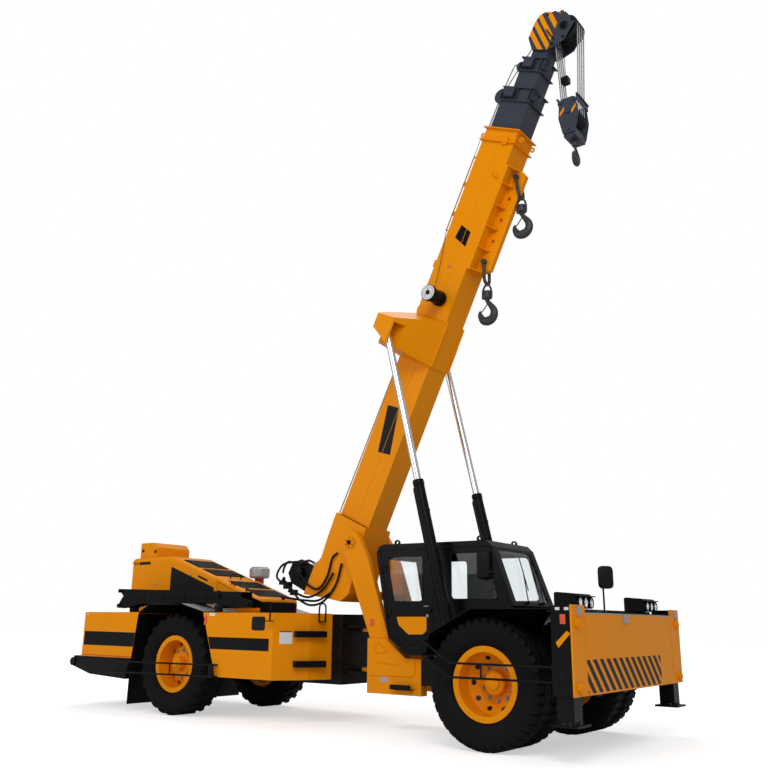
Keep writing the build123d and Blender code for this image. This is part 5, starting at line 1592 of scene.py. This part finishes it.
@dataclass
class BoomTrim(SubAssembly):
    """What the base section carries: bands, rope guides, welds, fittings, reel and hooks' plates."""

    half_w: float = BASE_HALF_W

    def on_side(self, outline: Points, side: Side, proud: float = PROUD, edge: float = 0.0) -> Surface:
        """A thin plate on the boom's side, from its s, n points."""
        origin = PIVOT + Y_DIR * side.value * self.half_w
        return slab(outline, origin, ALONG, BACK, Y_DIR * side.value * proud, edge)

    def forms(self) -> Iterator[Piece]:
        """The base section's pieces."""
        bands, welds, lenses, levers = [], [], [], []
        for side in Side:
            bands.append(
                self.on_side(((4.224, 0.251), (4.157, 0.076), (3.960, 0.074), (4.050, 0.281)), side)
            )
            bands.append(
                self.on_side(((1.751, 0.336), (1.767, 0.153), (1.177, 0.023), (1.150, 0.218)), side)
            )
            weld = [on_boom(s, 0.152, side.value * (self.half_w + 0.0005)) for s in (0.35, 5.30)]
            welds.append(tube(weld, 0.0035, 8))
            lens = turned(
                ((0.021, 0.0), (0.021, 0.005), (0.014, 0.008), (0.001, 0.009)),
                on_boom(3.671, 0.202, side.value * self.half_w), Y_DIR * side.value
            )
            lenses.append(lens)
            lever = curve(
                [
                    on_boom(s, n, side.value * y)
                    for s, n, y in (
                        (4.973, 0.089, 0.196), (4.96, 0.075, 0.212), (4.92, 0.020, 0.214),
                        (4.892, -0.025, 0.214)
                    )
                ],
                24
            )
            levers.append(tube(lever, 0.009))
        yield Piece("boom_bands", joined(bands), BLACK_PAINT, "boom", "black_frame")
        yield Piece("boom_welds", joined(welds + levers), ORANGE_PAINT, "boom", "orange")
        yield Piece("boom_reflectors", joined(lenses), REFLECTOR_RED, "boom", "orange")
        fittings = []
        y = -self.half_w
        guide = [
            on_boom(s, n, y + 0.02)
            for s, n in (
                (5.129, 0.425), (5.120, 0.462), (5.060, 0.470), (4.200, 0.472), (4.130, 0.466),
                (4.119, 0.425)
            )
        ]
        fittings.append(tube(curve(guide, 60), 0.008))
        for s, n in ((4.353, 0.455), (4.760, 0.455)):
            spool = (
                (0.030, -0.018), (0.030, -0.014), (0.019, -0.008), (0.019, 0.008), (0.030, 0.014),
                (0.030, 0.018)
            )
            fittings.append(turned(spool, on_boom(s, n, y + 0.035), Y_DIR))
            fittings.append(self.boom_block((s - 0.02, s + 0.02), (0.425, n), (y + 0.012, y + 0.016)))
        for s, n, size, t in (
            (3.668, 0.4255, 0.045, 0.040), (3.043, 0.4255, 0.032, 0.030), (5.379, 0.030, 0.045, 0.0)
        ):
            if t:
                fittings.append(self.boom_block((s - size, s + size), (n, n + t), (y + 0.01, y + 0.07)))
            else:
                fittings.append(
                    self.boom_block((s - size, s + size), (n, n + 0.07), (y - 0.028, y - 0.001))
                )
        for s, n in ((3.082, -0.045), (3.075, 0.22)):
            fittings.append(self.boom_block((s, s + 0.30), (n, n + 0.07), (y - 0.0035, y - 0.0002)))
        for s, n in ((5.400, 0.455), (5.400, -0.102)):
            for side in Side:
                eye_y = side.value * (self.half_w - 0.05)
                ring = turned(
                    ((0.034, -0.008), (0.034, 0.008), (0.016, 0.008), (0.016, -0.008)),
                    on_boom(s + 0.04, n + 0.022 * np.sign(n), eye_y), Y_DIR, ring=True
                )
                fittings.append(ring)
        yield Piece("boom_fittings", joined(fittings), ORANGE_PAINT, "boom", "orange")
        yield from self.reel()
        yield from self.rope()

    def boom_block(self, s: tuple[float, float], n: tuple[float, float], y: tuple[float, float]) -> Surface:
        """A block between two values each of s, n and y."""
        corners = oblong(s[0], n[0], s[1], n[1])
        return slab(corners, on_boom(0.0, 0.0, y[0]), ALONG, BACK, Y_DIR * (y[1] - y[0]))

    def reel(self) -> Iterator[Piece]:
        """The length reel's white dial with plain ticks, and its cable to the boom's nose."""
        face = on_boom(3.235, 0.141, -self.half_w - 0.2972)
        disc = turned(((0.094, 0.0), (0.094, 0.003), (0.001, 0.0032)), face, -Y_DIR)
        yield Piece("reel_dial", disc, PALE_PLATE, "boom", "orange")
        tick = slab(oblong(-0.002, 0.062, 0.002, 0.084), face - Y_DIR * 0.003, X_DIR, Z_DIR, -Y_DIR * 0.001)
        hub = turned(((0.030, 0.003), (0.028, 0.012), (0.001, 0.013)), face, -Y_DIR)
        bolts = turned(((0.006, 0.003), (0.006, 0.007)), face + Z_DIR * 0.05, -Y_DIR, 6).round_axle(face, 3)
        yield Piece(
            "reel_marks", joined([tick.round_axle(face, 16), hub, bolts]), DARK_PLASTIC_AND_SLOT_SHADE, "boom", "plastic"
        )
        cable = [
            on_boom(s, n, y)
            for s, n, y in (
                (3.235, 0.239, -0.24), (3.70, 0.34, -0.215), (4.10, 0.452, -0.195), (5.13, 0.452, -0.195),
                (5.39, 0.458, -0.195)
            )
        ]
        yield Piece("length_cable", tube(cable, 0.0035, 8), DARK_STEEL, "boom", "steel")

    def rope(self) -> Iterator[Piece]:
        """The winch rope along the boom's back: one stretch on each section, a little thinner each."""
        start, end = np.array([-0.705, 0.592]), np.array([6.000, 0.522])
        stretches = (
            ("boom", -0.705, 5.60, 0.0086), ("section_two", 1.60, 6.02, 0.0083),
            ("section_three", 1.60, 6.02, 0.0080), ("section_four", 1.60, 6.02, 0.0077),
        )
        for body, low, high, radius in stretches:
            share = [(s - start[0]) / (end[0] - start[0]) for s in (low, high)]
            line = [
                on_boom(s, start[1] + t * (end[1] - start[1]), -0.030) for s, t in zip((low, high), share)
            ]
            if body == "section_three":
                line = curve(line + [on_boom(6.44, 0.400, -0.030)], 40)
            elif body == "section_four":
                line = np.vstack(
                    [
                        line,
                        curve(
                            [
                                on_boom(s, n, -0.030)
                                for s, n in (
                                    (6.02, 0.522), (6.44, 0.400), (6.95, 0.235), (7.08, 0.115), (7.128, 0.0)
                                )
                            ],
                            30
                        )[1:]
                    ]
                )
            yield Piece(f"rope_on_{body}", tube(line, radius, 12), WIRE_ROPE, body, "steel")


@dataclass
class Winch(SubAssembly):
    """The rope's turns on the drum, the motor, its hoses and fittings."""

    centre: tuple[float, float] = (-0.705, 0.700)
    coil_r: float = 0.1185
    coil_half_y: float = 0.150
    turns: int = 17

    def forms(self) -> Iterator[Piece]:
        """Coil, motor, fittings and hoses."""
        angle = np.linspace(0.0, 2.0 * math.pi * self.turns, self.turns * 28)
        middle = on_boom(*self.centre)
        y = np.linspace(-self.coil_half_y, self.coil_half_y, len(angle))
        spoke = ALONG * np.cos(angle)[:, None] + BACK * np.sin(angle)[:, None]
        coil = middle + self.coil_r * spoke + y[:, None] * Y_DIR
        yield Piece("rope_on_drum", tube(coil, 0.0087, 8), WIRE_ROPE, "drum", "steel")
        drum_end = on_boom(*self.centre, -0.2105)
        cap = ((0.055, 0.0), (0.055, 0.03), (0.075, 0.034), (0.075, 0.055), (0.030, 0.060))
        sleeves = [turned(cap, drum_end, -Y_DIR)]
        bolt = turned(((0.010, 0.0), (0.010, 0.012)), drum_end + Z_DIR * 0.125, -Y_DIR, 6)
        sleeves.append(bolt.round_axle(on_boom(*self.centre), 8, 0.3))
        for s, n in ((-0.885, 0.900), (-0.960, 0.734), (-1.090, 0.790)):
            sleeves.append(
                turned(((0.022, -0.03), (0.022, 0.02), (0.014, 0.03)), on_boom(s, n, -0.24), ALONG, 6)
            )
        for s, n, size in ((-0.925, 0.80, 0.045), (-0.960, 0.66, 0.035), (-0.930, 0.90, 0.03)):
            middle_of = on_boom(s, n, -0.235)
            reach = np.array([size, 0.040, size])
            sleeves.append(block(middle_of - reach, middle_of + reach, 0.006))
        yield Piece("winch_fittings", joined(sleeves), BLACK_PAINT, "boom", "black_frame")
        paths = (
            (
                (-0.808, 0.922), (-0.720, 0.935), (-0.638, 0.893), (-0.601, 0.725), (-0.494, 0.598),
                (-0.476, 0.492)
            ),
            (
                (-0.679, 0.684), (-0.760, 0.441), (-0.727, 0.264), (-0.536, 0.203), (-0.303, 0.228),
                (-0.213, 0.180)
            ),
            ((-0.913, 0.727), (-0.928, 0.551), (-0.880, 0.345), (-0.701, 0.181), (-0.453, 0.120)),
            (
                (-0.925, 0.845), (-0.905, 0.985), (-0.820, 1.010), (-0.700, 0.960), (-0.600, 0.800),
                (-0.520, 0.600)
            ),
            (
                (-0.940, 0.640), (-0.985, 0.480), (-0.960, 0.280), (-0.820, 0.110), (-0.560, 0.030),
                (-0.300, 0.060)
            ),
            ((-1.080, 0.780), (-1.020, 0.600), (-0.950, 0.400), (-0.860, 0.200), (-0.700, 0.060)),
        )
        hoses = [
            tube(curve([on_boom(s, n, -0.272 - 0.012 * (k % 3)) for s, n in path], 50), 0.0145, 10)
            for k, path in enumerate(paths)
        ]
        yield Piece("winch_hoses", joined(hoses), SEAL_RUBBER_AND_HOLE_SHADE, "boom", "plastic")


@dataclass
class Head(SubAssembly):
    """The head's slanted bands, grooved sheaves, pins, levers and guards."""

    cheek_y: float = 0.150
    sheave: tuple[float, float] = (6.967, -0.109)
    sheave_r: float = 0.165
    starts: tuple[float, ...] = (6.49, 6.63, 6.76, 6.92, 7.12)
    band_width: float = 0.080

    def forms(self) -> Iterator[Piece]:
        """The head's pieces."""
        cheek = (
            (6.640, 0.003), (7.148, 0.0), (7.145, 0.235), (7.100, 0.300), (7.000, 0.335), (6.785, 0.345),
            (6.640, 0.235)
        )
        bands, pins = [], []
        for side in Side:
            origin = PIVOT + Y_DIR * side.value * self.cheek_y
            slope = np.array([1.0, 1.0])
            across = unit(np.array([-1.0, 1.0]))
            for value in self.starts:
                outline = band(
                    cheek, slope, float(np.dot(across, (value + self.band_width, 0.0))),
                    self.band_width * 0.7071
                )
                if outline is not None:
                    bands.append(slab(outline, origin, ALONG, BACK, Y_DIR * side.value * PROUD))
            out = Y_DIR * side.value
            boss = ((0.052, 0.012), (0.052, 0.020), (0.036, 0.026), (0.034, 0.040), (0.001, 0.041))
            pins.append(turned(boss, on_boom(*self.sheave, side.value * self.cheek_y), out))
            for s, n in ((7.110, 0.180), (6.72, -0.04), (7.05, -0.19), (6.82, -0.155)):
                pins.append(
                    turned(
                        ((0.017, 0.0), (0.015, 0.014), (0.001, 0.015)),
                        on_boom(s, n, side.value * self.cheek_y), out, 6
                    )
                )
            lever = curve(
                [
                    on_boom(s, n, side.value * (self.cheek_y + d))
                    for s, n, d in (
                        (6.910, 0.128, 0.0), (6.88, 0.09, 0.016), (6.82, 0.01, 0.016), (6.778, -0.042, 0.0)
                    )
                ],
                24
            )
            pins.append(tube(lever, 0.008))
        yield Piece("head_bands", joined(bands), ORANGE_PAINT, "section_four", "orange")
        for s, n in ((7.120, 0.150), (7.135, 0.0)):
            pins.append(tube([on_boom(s, n, -self.cheek_y), on_boom(s, n, self.cheek_y)], 0.012))
            for y in (-0.09, 0.09):
                pins.append(turned(((0.030, -0.006), (0.030, 0.006)), on_boom(s, n, y), Y_DIR))
        for s, n in ((7.118, 0.080), (7.130, -0.020)):
            for y in (-0.120, 0.120):
                bent = curve(
                    [
                        on_boom(s + a, n + b, y)
                        for a, b in (
                            (-0.030, 0.0), (0.020, 0.0), (0.050, 0.025), (0.042, 0.055), (0.022, 0.060)
                        )
                    ],
                    24
                )
                pins.append(tube(bent, 0.009, 10))
        weight = np.array([3.558, -0.060, 7.656])
        pins.append(block(weight - 0.045, weight + 0.045, 0.008))
        links = np.linspace(0.045, 0.560, 90)[:, None]
        swing = 0.004 * np.sin(links * 300.0)
        pins.append(tube(weight + Z_DIR * links + X_DIR * swing, 0.004, 6))
        yield Piece("head_pins", joined(pins), BLACK_PAINT, "section_four", "black_frame")
        r = self.sheave_r
        wheels = []
        for y in (-0.090, -0.030, 0.030, 0.090):
            half = (
                (0.0285, -0.0215), (0.050, -0.0215), (0.052, -0.008), (r - 0.035, -0.008),
                (r - 0.030, -0.022), (r, -0.022), (r - 0.003, -0.015), (r - 0.019, -0.007)
            )
            profile = half + tuple((a, -b) for a, b in reversed(half))
            wheels.append(turned(profile, on_boom(*self.sheave, y), Y_DIR, 64))
        wheels.append(turned(((0.058, -0.134), (0.058, 0.134)), on_boom(*self.sheave), Y_DIR))
        yield Piece(
            "grooved_sheaves", joined(wheels), DARK_STEEL, "sheaves", "black_frame", ("head_sheaves",)
        )
        # Name, low, high, half width, end, roller height, cheek radius, eye radius
        collars = (
            ("section_two", -0.067, 0.422, 0.193, 6.110, 0.483, 0.104, 0.080),
            ("section_three", -0.045, 0.325, 0.168, 6.530, 0.366, 0.060, 0.050),
        )
        for name, low, high, half_w, end, roller_n, cheek_r, r in collars:
            ribs = []
            for side in Side:
                y = side.value * (half_w - 0.012)
                for n in (low + 0.06, 0.5 * (low + high), high - 0.06):
                    corners = oblong(end - 0.176, n - 0.005, end - 0.014, n + 0.005)
                    ribs.append(slab(corners, on_boom(0.0, 0.0, y - 0.014), ALONG, BACK, Y_DIR * 0.028))
            for y in (-0.085, 0.013):
                ribs.append(
                    turned(
                        ((cheek_r, 0.0), (cheek_r, 0.012)), on_boom(end - 0.09, roller_n - 0.01, y), Y_DIR
                    )
                )
                foot = (
                    (end - 0.16, high), (end - 0.02, high), (end - 0.04, roller_n), (end - 0.14, roller_n)
                )
                ribs.append(slab(foot, on_boom(0.0, 0.0, y), ALONG, BACK, Y_DIR * 0.012))
            ribs.append(
                turned(((0.030, -0.075), (0.030, 0.015)), on_boom(end - 0.09, roller_n, 0.0), Y_DIR)
            )
            eye = ((r, -0.010), (r, 0.010), (0.5 * r, 0.010), (0.5 * r, -0.010))
            ribs.append(turned(eye, on_boom(end - 0.09, low - 0.40 * r, -0.5 * half_w), Y_DIR, ring=True))
            bracket = oblong(end - 0.15, low - 0.004, end - 0.03, low + 0.006)
            ribs.append(slab(bracket, on_boom(0.0, 0.0, -half_w), ALONG, BACK, Y_DIR * 0.10))
            lump = oblong(end - 0.15, high - 0.22, end - 0.03, high - 0.08)
            ribs.append(slab(lump, on_boom(0.0, 0.0, -half_w - 0.040), ALONG, BACK, Y_DIR * 0.050, 0.006))
            yield Piece(f"collar_ribs_{name}", joined(ribs), SECTION_PAINT, name, "dark_grey")


# Hooks


@dataclass
class ForgedHook:
    """A forged hook: a bar of changing thickness along its bent centre line, with its latch and nut."""

    centre: Array
    radius: float
    turn: float = 0.0

    def at(self, x: float, z: float, y: float = 0.0) -> Array:
        """The place at x, z counted in radii from the bowl's centre, turned about the upright."""
        across = np.array([math.cos(self.turn), math.sin(self.turn), 0.0])
        side = np.array([-across[1], across[0], 0.0])
        return self.centre + self.radius * (across * x + Z_DIR * z + side * y)

    def bar(self) -> Surface:
        """The hook: a flattened tube along the curve from the shank round the bowl to the tip."""
        line = (
            (0.02, 1.36), (0.03, 1.12), (0.30, 0.74), (0.60, 0.26), (0.62, -0.22), (0.38, -0.56),
            (0.0, -0.66),
            (-0.38, -0.56), (-0.63, -0.22), (-0.72, 0.10), (-0.68, 0.36),
        )
        size = (0.16, 0.18, 0.23, 0.31, 0.36, 0.39, 0.40, 0.35, 0.27, 0.19, 0.08)
        path = curve([self.at(x, z) for x, z in line], 90)
        radius = curve([(r, 0.0) for r in size], 90)[:, 0] * self.radius
        return tube(path, radius, 20, 0.80)

    def latch(self) -> Surface:
        """A bent strip from the hook's throat to its tip."""
        path = curve(
            [self.at(x, z) for x, z in ((0.14, 0.86), (-0.05, 0.80), (-0.30, 0.52), (-0.56, 0.24))], 20
        )
        return tube(path, 0.045 * self.radius, 10, 1.8)


@dataclass
class PlainHook(SubAssembly):
    """One of the two hooks below the boom: shackle, bail, swivel and forged hook."""

    name: str
    station: float
    lean: float
    fin_hole_n: float = -0.185
    radius: float = 0.145

    def forms(self) -> Iterator[Piece]:
        """The hanging piece in forged steel."""
        pin = on_boom(self.station, self.fin_hole_n)
        hang = pin + X_DIR * self.lean
        bow = curve(
            (pin - Y_DIR * 0.062,
             pin - Y_DIR * 0.066 + X_DIR * 0.4 * self.lean - Z_DIR * 0.12,
             pin - Y_DIR * 0.060 + X_DIR * 0.9 * self.lean - Z_DIR * 0.232,
             hang - Y_DIR * 0.030 - Z_DIR * 0.268, hang - Z_DIR * 0.277,
             hang + Y_DIR * 0.030 - Z_DIR * 0.268,
             pin + Y_DIR * 0.060 + X_DIR * 0.9 * self.lean - Z_DIR * 0.232,
             pin + Y_DIR * 0.066 + X_DIR * 0.4 * self.lean - Z_DIR * 0.12, pin + Y_DIR * 0.062), 70)
        parts = [
            tube(bow, 0.021, 14), turned(((0.024, -0.084), (0.024, 0.084)), pin, Y_DIR),
            turned(((0.036, 0.078), (0.036, 0.100)), pin, Y_DIR, 6),
            turned(((0.034, -0.094), (0.036, -0.090), (0.036, -0.078)), pin, Y_DIR)
        ]
        parts += [
            turned(((0.026, 0.046), (0.037, 0.050), (0.037, 0.074), (0.026, 0.078)), pin, Y_DIR * sign)
            for sign in (-1, 1)
        ]
        for sign in (-1, 1):
            bail = curve(
                [
                    hang + X_DIR * sign * x - Z_DIR * z
                    for x, z in (
                        (0.004, 0.286), (0.036, 0.310), (0.058, 0.365), (0.061, 0.42), (0.060, 0.47)
                    )
                ],
                30
            )
            parts.append(tube(bail, 0.0135, 12))
        swivel = (
            (0.020, -0.500), (0.030, -0.498), (0.030, -0.482), (0.046, -0.474), (0.060, -0.469),
            (0.062, -0.458), (0.060, -0.446), (0.055, -0.441), (0.055, -0.390), (0.048, -0.376),
            (0.022, -0.372)
        )
        parts.append(turned(swivel, hang, Z_DIR, 48))
        parts.append(turned(((0.024, -0.300), (0.024, -0.268)), hang, Z_DIR, 24))
        hook = ForgedHook(hang - Z_DIR * 0.670, self.radius)
        yield Piece(
            f"forged_hook_{self.name}", joined(parts + [hook.bar()]), FORGED_STEEL, f"hook_{self.name}",
            "hook", (f"plain_hook_{self.name}",)
        )
        yield Piece(f"hook_latch_{self.name}", hook.latch(), BARE_STEEL, f"hook_{self.name}", "steel")


@dataclass
class HookBlock(SubAssembly):
    """The travelling block: lipped cheeks, sheaves, eight falls, lid, swivel and hook."""

    drop: float = 1.230
    half_x: float = 0.128
    fall_x: float = 0.099
    fall_y: tuple[float, ...] = (-0.090, -0.030, 0.030, 0.090)
    sheave_r: float = 0.108

    def forms(self) -> Iterator[Piece]:
        """The block's pieces."""
        top = on_boom(6.967, -0.109)
        middle = top - Z_DIR * self.drop
        w = self.half_x
        outline = (
            (-w, -0.060), (-0.85 * w, 0.165), (-0.55 * w, 0.190), (0.55 * w, 0.190), (0.85 * w, 0.165),
            (w, -0.060), (0.62 * w, -0.290), (-0.62 * w, -0.290)
        )
        cheeks = [
            slab(
                rounded(outline, 0.02), middle + Y_DIR * sign * 0.150, X_DIR, Z_DIR, Y_DIR * sign * 0.020,
                0.005
            )
            for sign in (-1, 1)
        ]
        for x in (-1, 1):
            cheeks.append(
                block(
                    middle + np.array([x * 0.112, -0.168, 0.120]),
                    middle + np.array([x * 0.126, 0.168, 0.200]), 0.003
                )
            )
            cheeks.append(
                block(
                    middle + np.array([x * 0.112, -0.178, 0.196]),
                    middle + np.array([x * 0.140, 0.178, 0.208]), 0.003
                )
            )
        for x, z in ((0.0, 0.0), (-0.08, 0.13), (0.08, 0.13), (0.0, -0.24)):
            r = 0.034 if x == z else 0.014
            for sign in (-1, 1):
                cheeks.append(
                    turned(
                        ((r, 0.168), (0.9 * r, 0.186), (0.001, 0.187)), middle + X_DIR * x + Z_DIR * z,
                        Y_DIR * sign, 24
                    )
                )
        cheeks.append(
            block(
                middle + np.array([-0.074, -0.151, -0.325]), middle + np.array([0.074, 0.151, -0.225]),
                0.006
            )
        )
        marks = [
            slab(
                ((a, -0.045), (a + 0.060, 0.030), (a + 0.060, 0.075), (a, 0.0)), middle - Y_DIR * 0.170,
                X_DIR, Z_DIR, -Y_DIR * PROUD
            )
            for a in (-0.105, 0.045)
        ]
        yield Piece(
            "block_marks", joined(marks + [mark.mirrored() for mark in marks]), ORANGE_PAINT, "block",
            "orange"
        )
        yield Piece("block_cheeks", joined(cheeks), SECTION_PAINT, "block", "hook", ("hook_block",))
        wheels = [
            turned(
                (
                    (0.03, -0.012), (self.sheave_r, -0.020), (self.sheave_r - 0.016, -0.005),
                    (self.sheave_r - 0.016, 0.005), (self.sheave_r, 0.020), (0.03, 0.012)
                ),
                middle + Y_DIR * y, Y_DIR, 48
            )
            for y in self.fall_y
        ]
        yield Piece("block_sheaves", joined(wheels), DARK_STEEL, "block", "hook")
        falls = []
        for sign in (-1, 1):
            for y in self.fall_y:
                high = top + X_DIR * sign * 0.1565 + Y_DIR * y
                falls.append(tube([middle + X_DIR * sign * self.fall_x + Y_DIR * y, high], 0.0085, 12))
        yield Piece("block_falls", joined(falls), WIRE_ROPE, "block", "steel")
        swivel = (
            (0.030, -0.400), (0.036, -0.394), (0.040, -0.372), (0.040, -0.345), (0.052, -0.338),
            (0.052, -0.322)
        )
        hook = ForgedHook(middle - Z_DIR * 0.540, 0.110, math.radians(94.0))
        parts = [turned(swivel, middle, Z_DIR, 36), hook.bar()]
        yield Piece("block_hook", joined(parts), FORGED_STEEL, "block", "hook")
        yield Piece("block_latch", hook.latch(), BARE_STEEL, "block", "steel")


@dataclass
class LiftCylinder(SubAssembly):
    """One lift cylinder's gland, bands, side pipe and its clips."""

    side: Side
    foot: tuple[float, float, float] = (-0.662, 0.664, 0.838)

    def forms(self) -> Iterator[Piece]:
        """The cylinder's trim."""
        sign, label = self.side.value, self.side.label
        foot = ahead_of_axle(self.foot[0], sign * self.foot[1], self.foot[2])
        eye = on_boom(2.660, 0.435, sign * self.foot[1])
        axis = unit(eye - foot)
        rear = np.array([-axis[2], 0.0, axis[0]])
        lip = (
            (0.0435, 1.9685), (0.060, 1.969), (0.066, 1.960), (0.066, 1.905), (0.0625, 1.898),
            (0.0435, 1.898)
        )
        gland = turned(lip, foot, axis, 48, ring=True)
        bands = [
            turned(
                ((0.0612, at - 0.014), (0.067, at - 0.012), (0.067, at + 0.012), (0.0612, at + 0.014)),
                foot, axis, 48, ring=True
            )
            for at in (0.30, 1.00, 1.60)
        ]
        pipe = curve(
            [
                foot + axis * a + rear * b
                for a, b in (
                    (0.16, 0.055), (0.18, 0.078), (0.30, 0.080), (1.00, 0.080), (1.78, 0.080),
                    (1.88, 0.078), (1.90, 0.060)
                )
            ],
            60
        )
        clips = [foot + axis * at + rear * 0.070 for at in (0.30, 1.00, 1.60)]
        parts = [gland, tube(pipe, 0.009)] + bands + [
            turned(((0.016, -0.012), (0.016, 0.012)), clip, axis, 12) for clip in clips
        ]
        yield Piece(f"cylinder_trim_{label}", joined(parts), BLACK_PAINT, f"barrel_{label}", "black_frame")


# Studio


@dataclass(frozen=True)
class Lamp:
    """One broad soft lamp: its name, place, aim, power in watts and size."""

    name: str
    place: tuple[float, float, float]
    aim: tuple[float, float, float]
    power: float
    size: float


@dataclass(frozen=True)
class Studio:
    """The camera at the photograph's viewpoint, the floor, the lamps and the white surround."""

    camera_place: tuple[float, float, float] = (4.326 + FRONT_AXLE_X, -8.762, 1.170)
    yaw: float = math.radians(36.343)
    pitch: float = math.radians(15.583)
    roll: float = math.radians(0.695)
    focal_px: float = 855.377
    picture_px: float = 768.0
    sky: float = 0.42
    floor_glow: tuple[float, float] = (0.52, 0.95)
    glow_reach: tuple[float, float] = (4.0, 10.0)
    floor_half: float = 60.0
    lamps: tuple[Lamp, ...] = (
        Lamp("key", (9.0, -12.0, 12.0), (0.5, 0.0, 2.5), 950.0, 9.0),
        Lamp("fill", (-8.0, -14.0, 7.0), (-1.0, 0.0, 2.5), 420.0, 9.0),
        Lamp("top", (-4.0, 6.0, 14.0), (0.0, 0.0, 2.0), 600.0, 10.0),
    )

    def add_camera(self) -> None:
        """Place the camera: it looks along the yaw and pitch, and its picture is turned by the roll."""
        data = bpy.data.cameras.new("camera")
        data.sensor_width = 36.0
        data.lens = 36.0 * self.focal_px / self.picture_px
        data.clip_end = 200.0
        cos_p, sin_p = math.cos(self.pitch), math.sin(self.pitch)
        ahead = Vector((-math.sin(self.yaw) * cos_p, math.cos(self.yaw) * cos_p, sin_p))
        level = Vector((math.cos(self.yaw), math.sin(self.yaw), 0.0))
        upright = level.cross(ahead)
        right = level * math.cos(self.roll) + upright * math.sin(self.roll)
        up = upright * math.cos(self.roll) - level * math.sin(self.roll)
        turn = Matrix((right, up, -ahead)).transposed().to_4x4()
        camera = bpy.data.objects.new("camera", data)
        camera.matrix_world = Matrix.Translation(self.camera_place) @ turn
        bpy.context.scene.collection.objects.link(camera)
        bpy.context.scene.camera = camera

    def add_lamps(self) -> None:
        """Hang the lamps, each turned to its aim."""
        for lamp in self.lamps:
            data = bpy.data.lights.new(lamp.name, "AREA")
            data.energy = lamp.power
            data.size = lamp.size
            made = bpy.data.objects.new(lamp.name, data)
            made.location = lamp.place
            ahead = Vector(lamp.aim) - Vector(lamp.place)
            made.rotation_euler = ahead.to_track_quat("-Z", "Y").to_euler()
            bpy.context.scene.collection.objects.link(made)

    def add_surround(self) -> None:
        """Make the world white to the camera and through glass, and a soft grey to everything else."""
        world = bpy.data.worlds.new("surround")
        bpy.context.scene.world = world
        world.use_nodes = True
        tree = world.node_tree
        shade = tree.nodes["Background"]
        rays = tree.nodes.new("ShaderNodeLightPath")
        seen = tree.nodes.new("ShaderNodeMath")
        seen.operation = "MAXIMUM"
        tree.links.new(rays.outputs["Is Camera Ray"], seen.inputs[0])
        tree.links.new(rays.outputs["Is Transmission Ray"], seen.inputs[1])
        power = tree.nodes.new("ShaderNodeMapRange")
        power.inputs["To Min"].default_value = self.sky
        power.inputs["To Max"].default_value = 1.0
        tree.links.new(seen.outputs["Value"], power.inputs["Value"])
        tree.links.new(power.outputs["Result"], shade.inputs["Strength"])
        shade.inputs["Color"].default_value = (1.0, 1.0, 1.0, 1.0)

    def add_floor(self) -> None:
        """Lay the pale floor, whose camera rays also get a little of its own light."""
        made = bpy.data.materials.new("floor")
        made.use_nodes = True
        tree = made.node_tree
        shader = tree.nodes["Principled BSDF"]
        shader.inputs["Base Color"].default_value = (0.82, 0.82, 0.82, 1.0)
        shader.inputs["Roughness"].default_value = 0.9
        shader.inputs["Specular IOR Level"].default_value = 0.0
        rays = tree.nodes.new("ShaderNodeLightPath")
        place = tree.nodes.new("ShaderNodeTexCoord").outputs["Object"]
        reach = tree.nodes.new("ShaderNodeVectorMath")
        reach.operation = "LENGTH"
        tree.links.new(place, reach.inputs[0])
        glow = Finish.ranged(tree, reach.outputs["Value"], *self.floor_glow, *self.glow_reach)
        shader.inputs["Emission Color"].default_value = (1.0, 1.0, 1.0, 1.0)
        tree.links.new(
            Finish.product(tree, glow, rays.outputs["Is Camera Ray"]), shader.inputs["Emission Strength"]
        )
        across = np.linspace(-self.floor_half, self.floor_half, 9)
        grid_x, grid_y = np.meshgrid(across, across, indexing="ij")
        ground = grid_surface(np.stack([grid_x, grid_y, np.zeros_like(grid_x)], axis=-1))
        floor = Piece("floor", ground, BLACK_PAINT, "", "").make()
        floor.data.materials.append(made)

    def build(self) -> None:
        """Set up everything round the crane, and keep the plain view transform."""
        self.add_camera()
        self.add_lamps()
        self.add_surround()
        self.add_floor()
        bpy.context.scene.view_settings.view_transform = "Standard"


def sub_assemblies() -> list[SubAssembly]:
    """Every sub-assembly of the crane, in the order in which it is made."""
    found: list[SubAssembly] = [Hood(), RearTrim(), FrontPlate(), Mirrors(), CabTrim(), SupportTrim()]
    found += [BoomTrim(), Winch(), Head(), HookBlock()]
    found += [PlainHook("lower", 3.855, 0.0), PlainHook("upper", 3.855 + 4 * 0.284, 0.030)]
    for side in Side:
        found.append(
            Tyre(side, "front", FRONT_AXLE_X, (0.740, 1.090), 0.613, 0.156, 0.097, Tread.BLOCKS, 40, 0.024)
        )
        found.append(Tyre(side, "rear", REAR_AXLE_X, (0.815,), 0.626, 0.210, 0.150, Tread.BARS, 24, 0.028))
        found.append(WheelTrim(side, "front", FRONT_AXLE_X, 0.613, 0.934, 1.011, 0.110, 0.166))
        found.append(
            WheelTrim(side, "rear", REAR_AXLE_X, 0.626, 0.826, 0.936, 0.085, 0.170, 10, 0.247, 0.801, 0.54)
        )
        found += [LampBox(side), LiftCylinder(side)]
    return found


def main() -> None:
    """Dress the CAD nodes, add the pieces and set up the studio."""
    logging.basicConfig(level=logging.INFO, format="%(message)s")
    dress_nodes()
    for assembly in sub_assemblies():
        assembly.build()
    Studio().build()


if __name__ == "__main__":
    main()
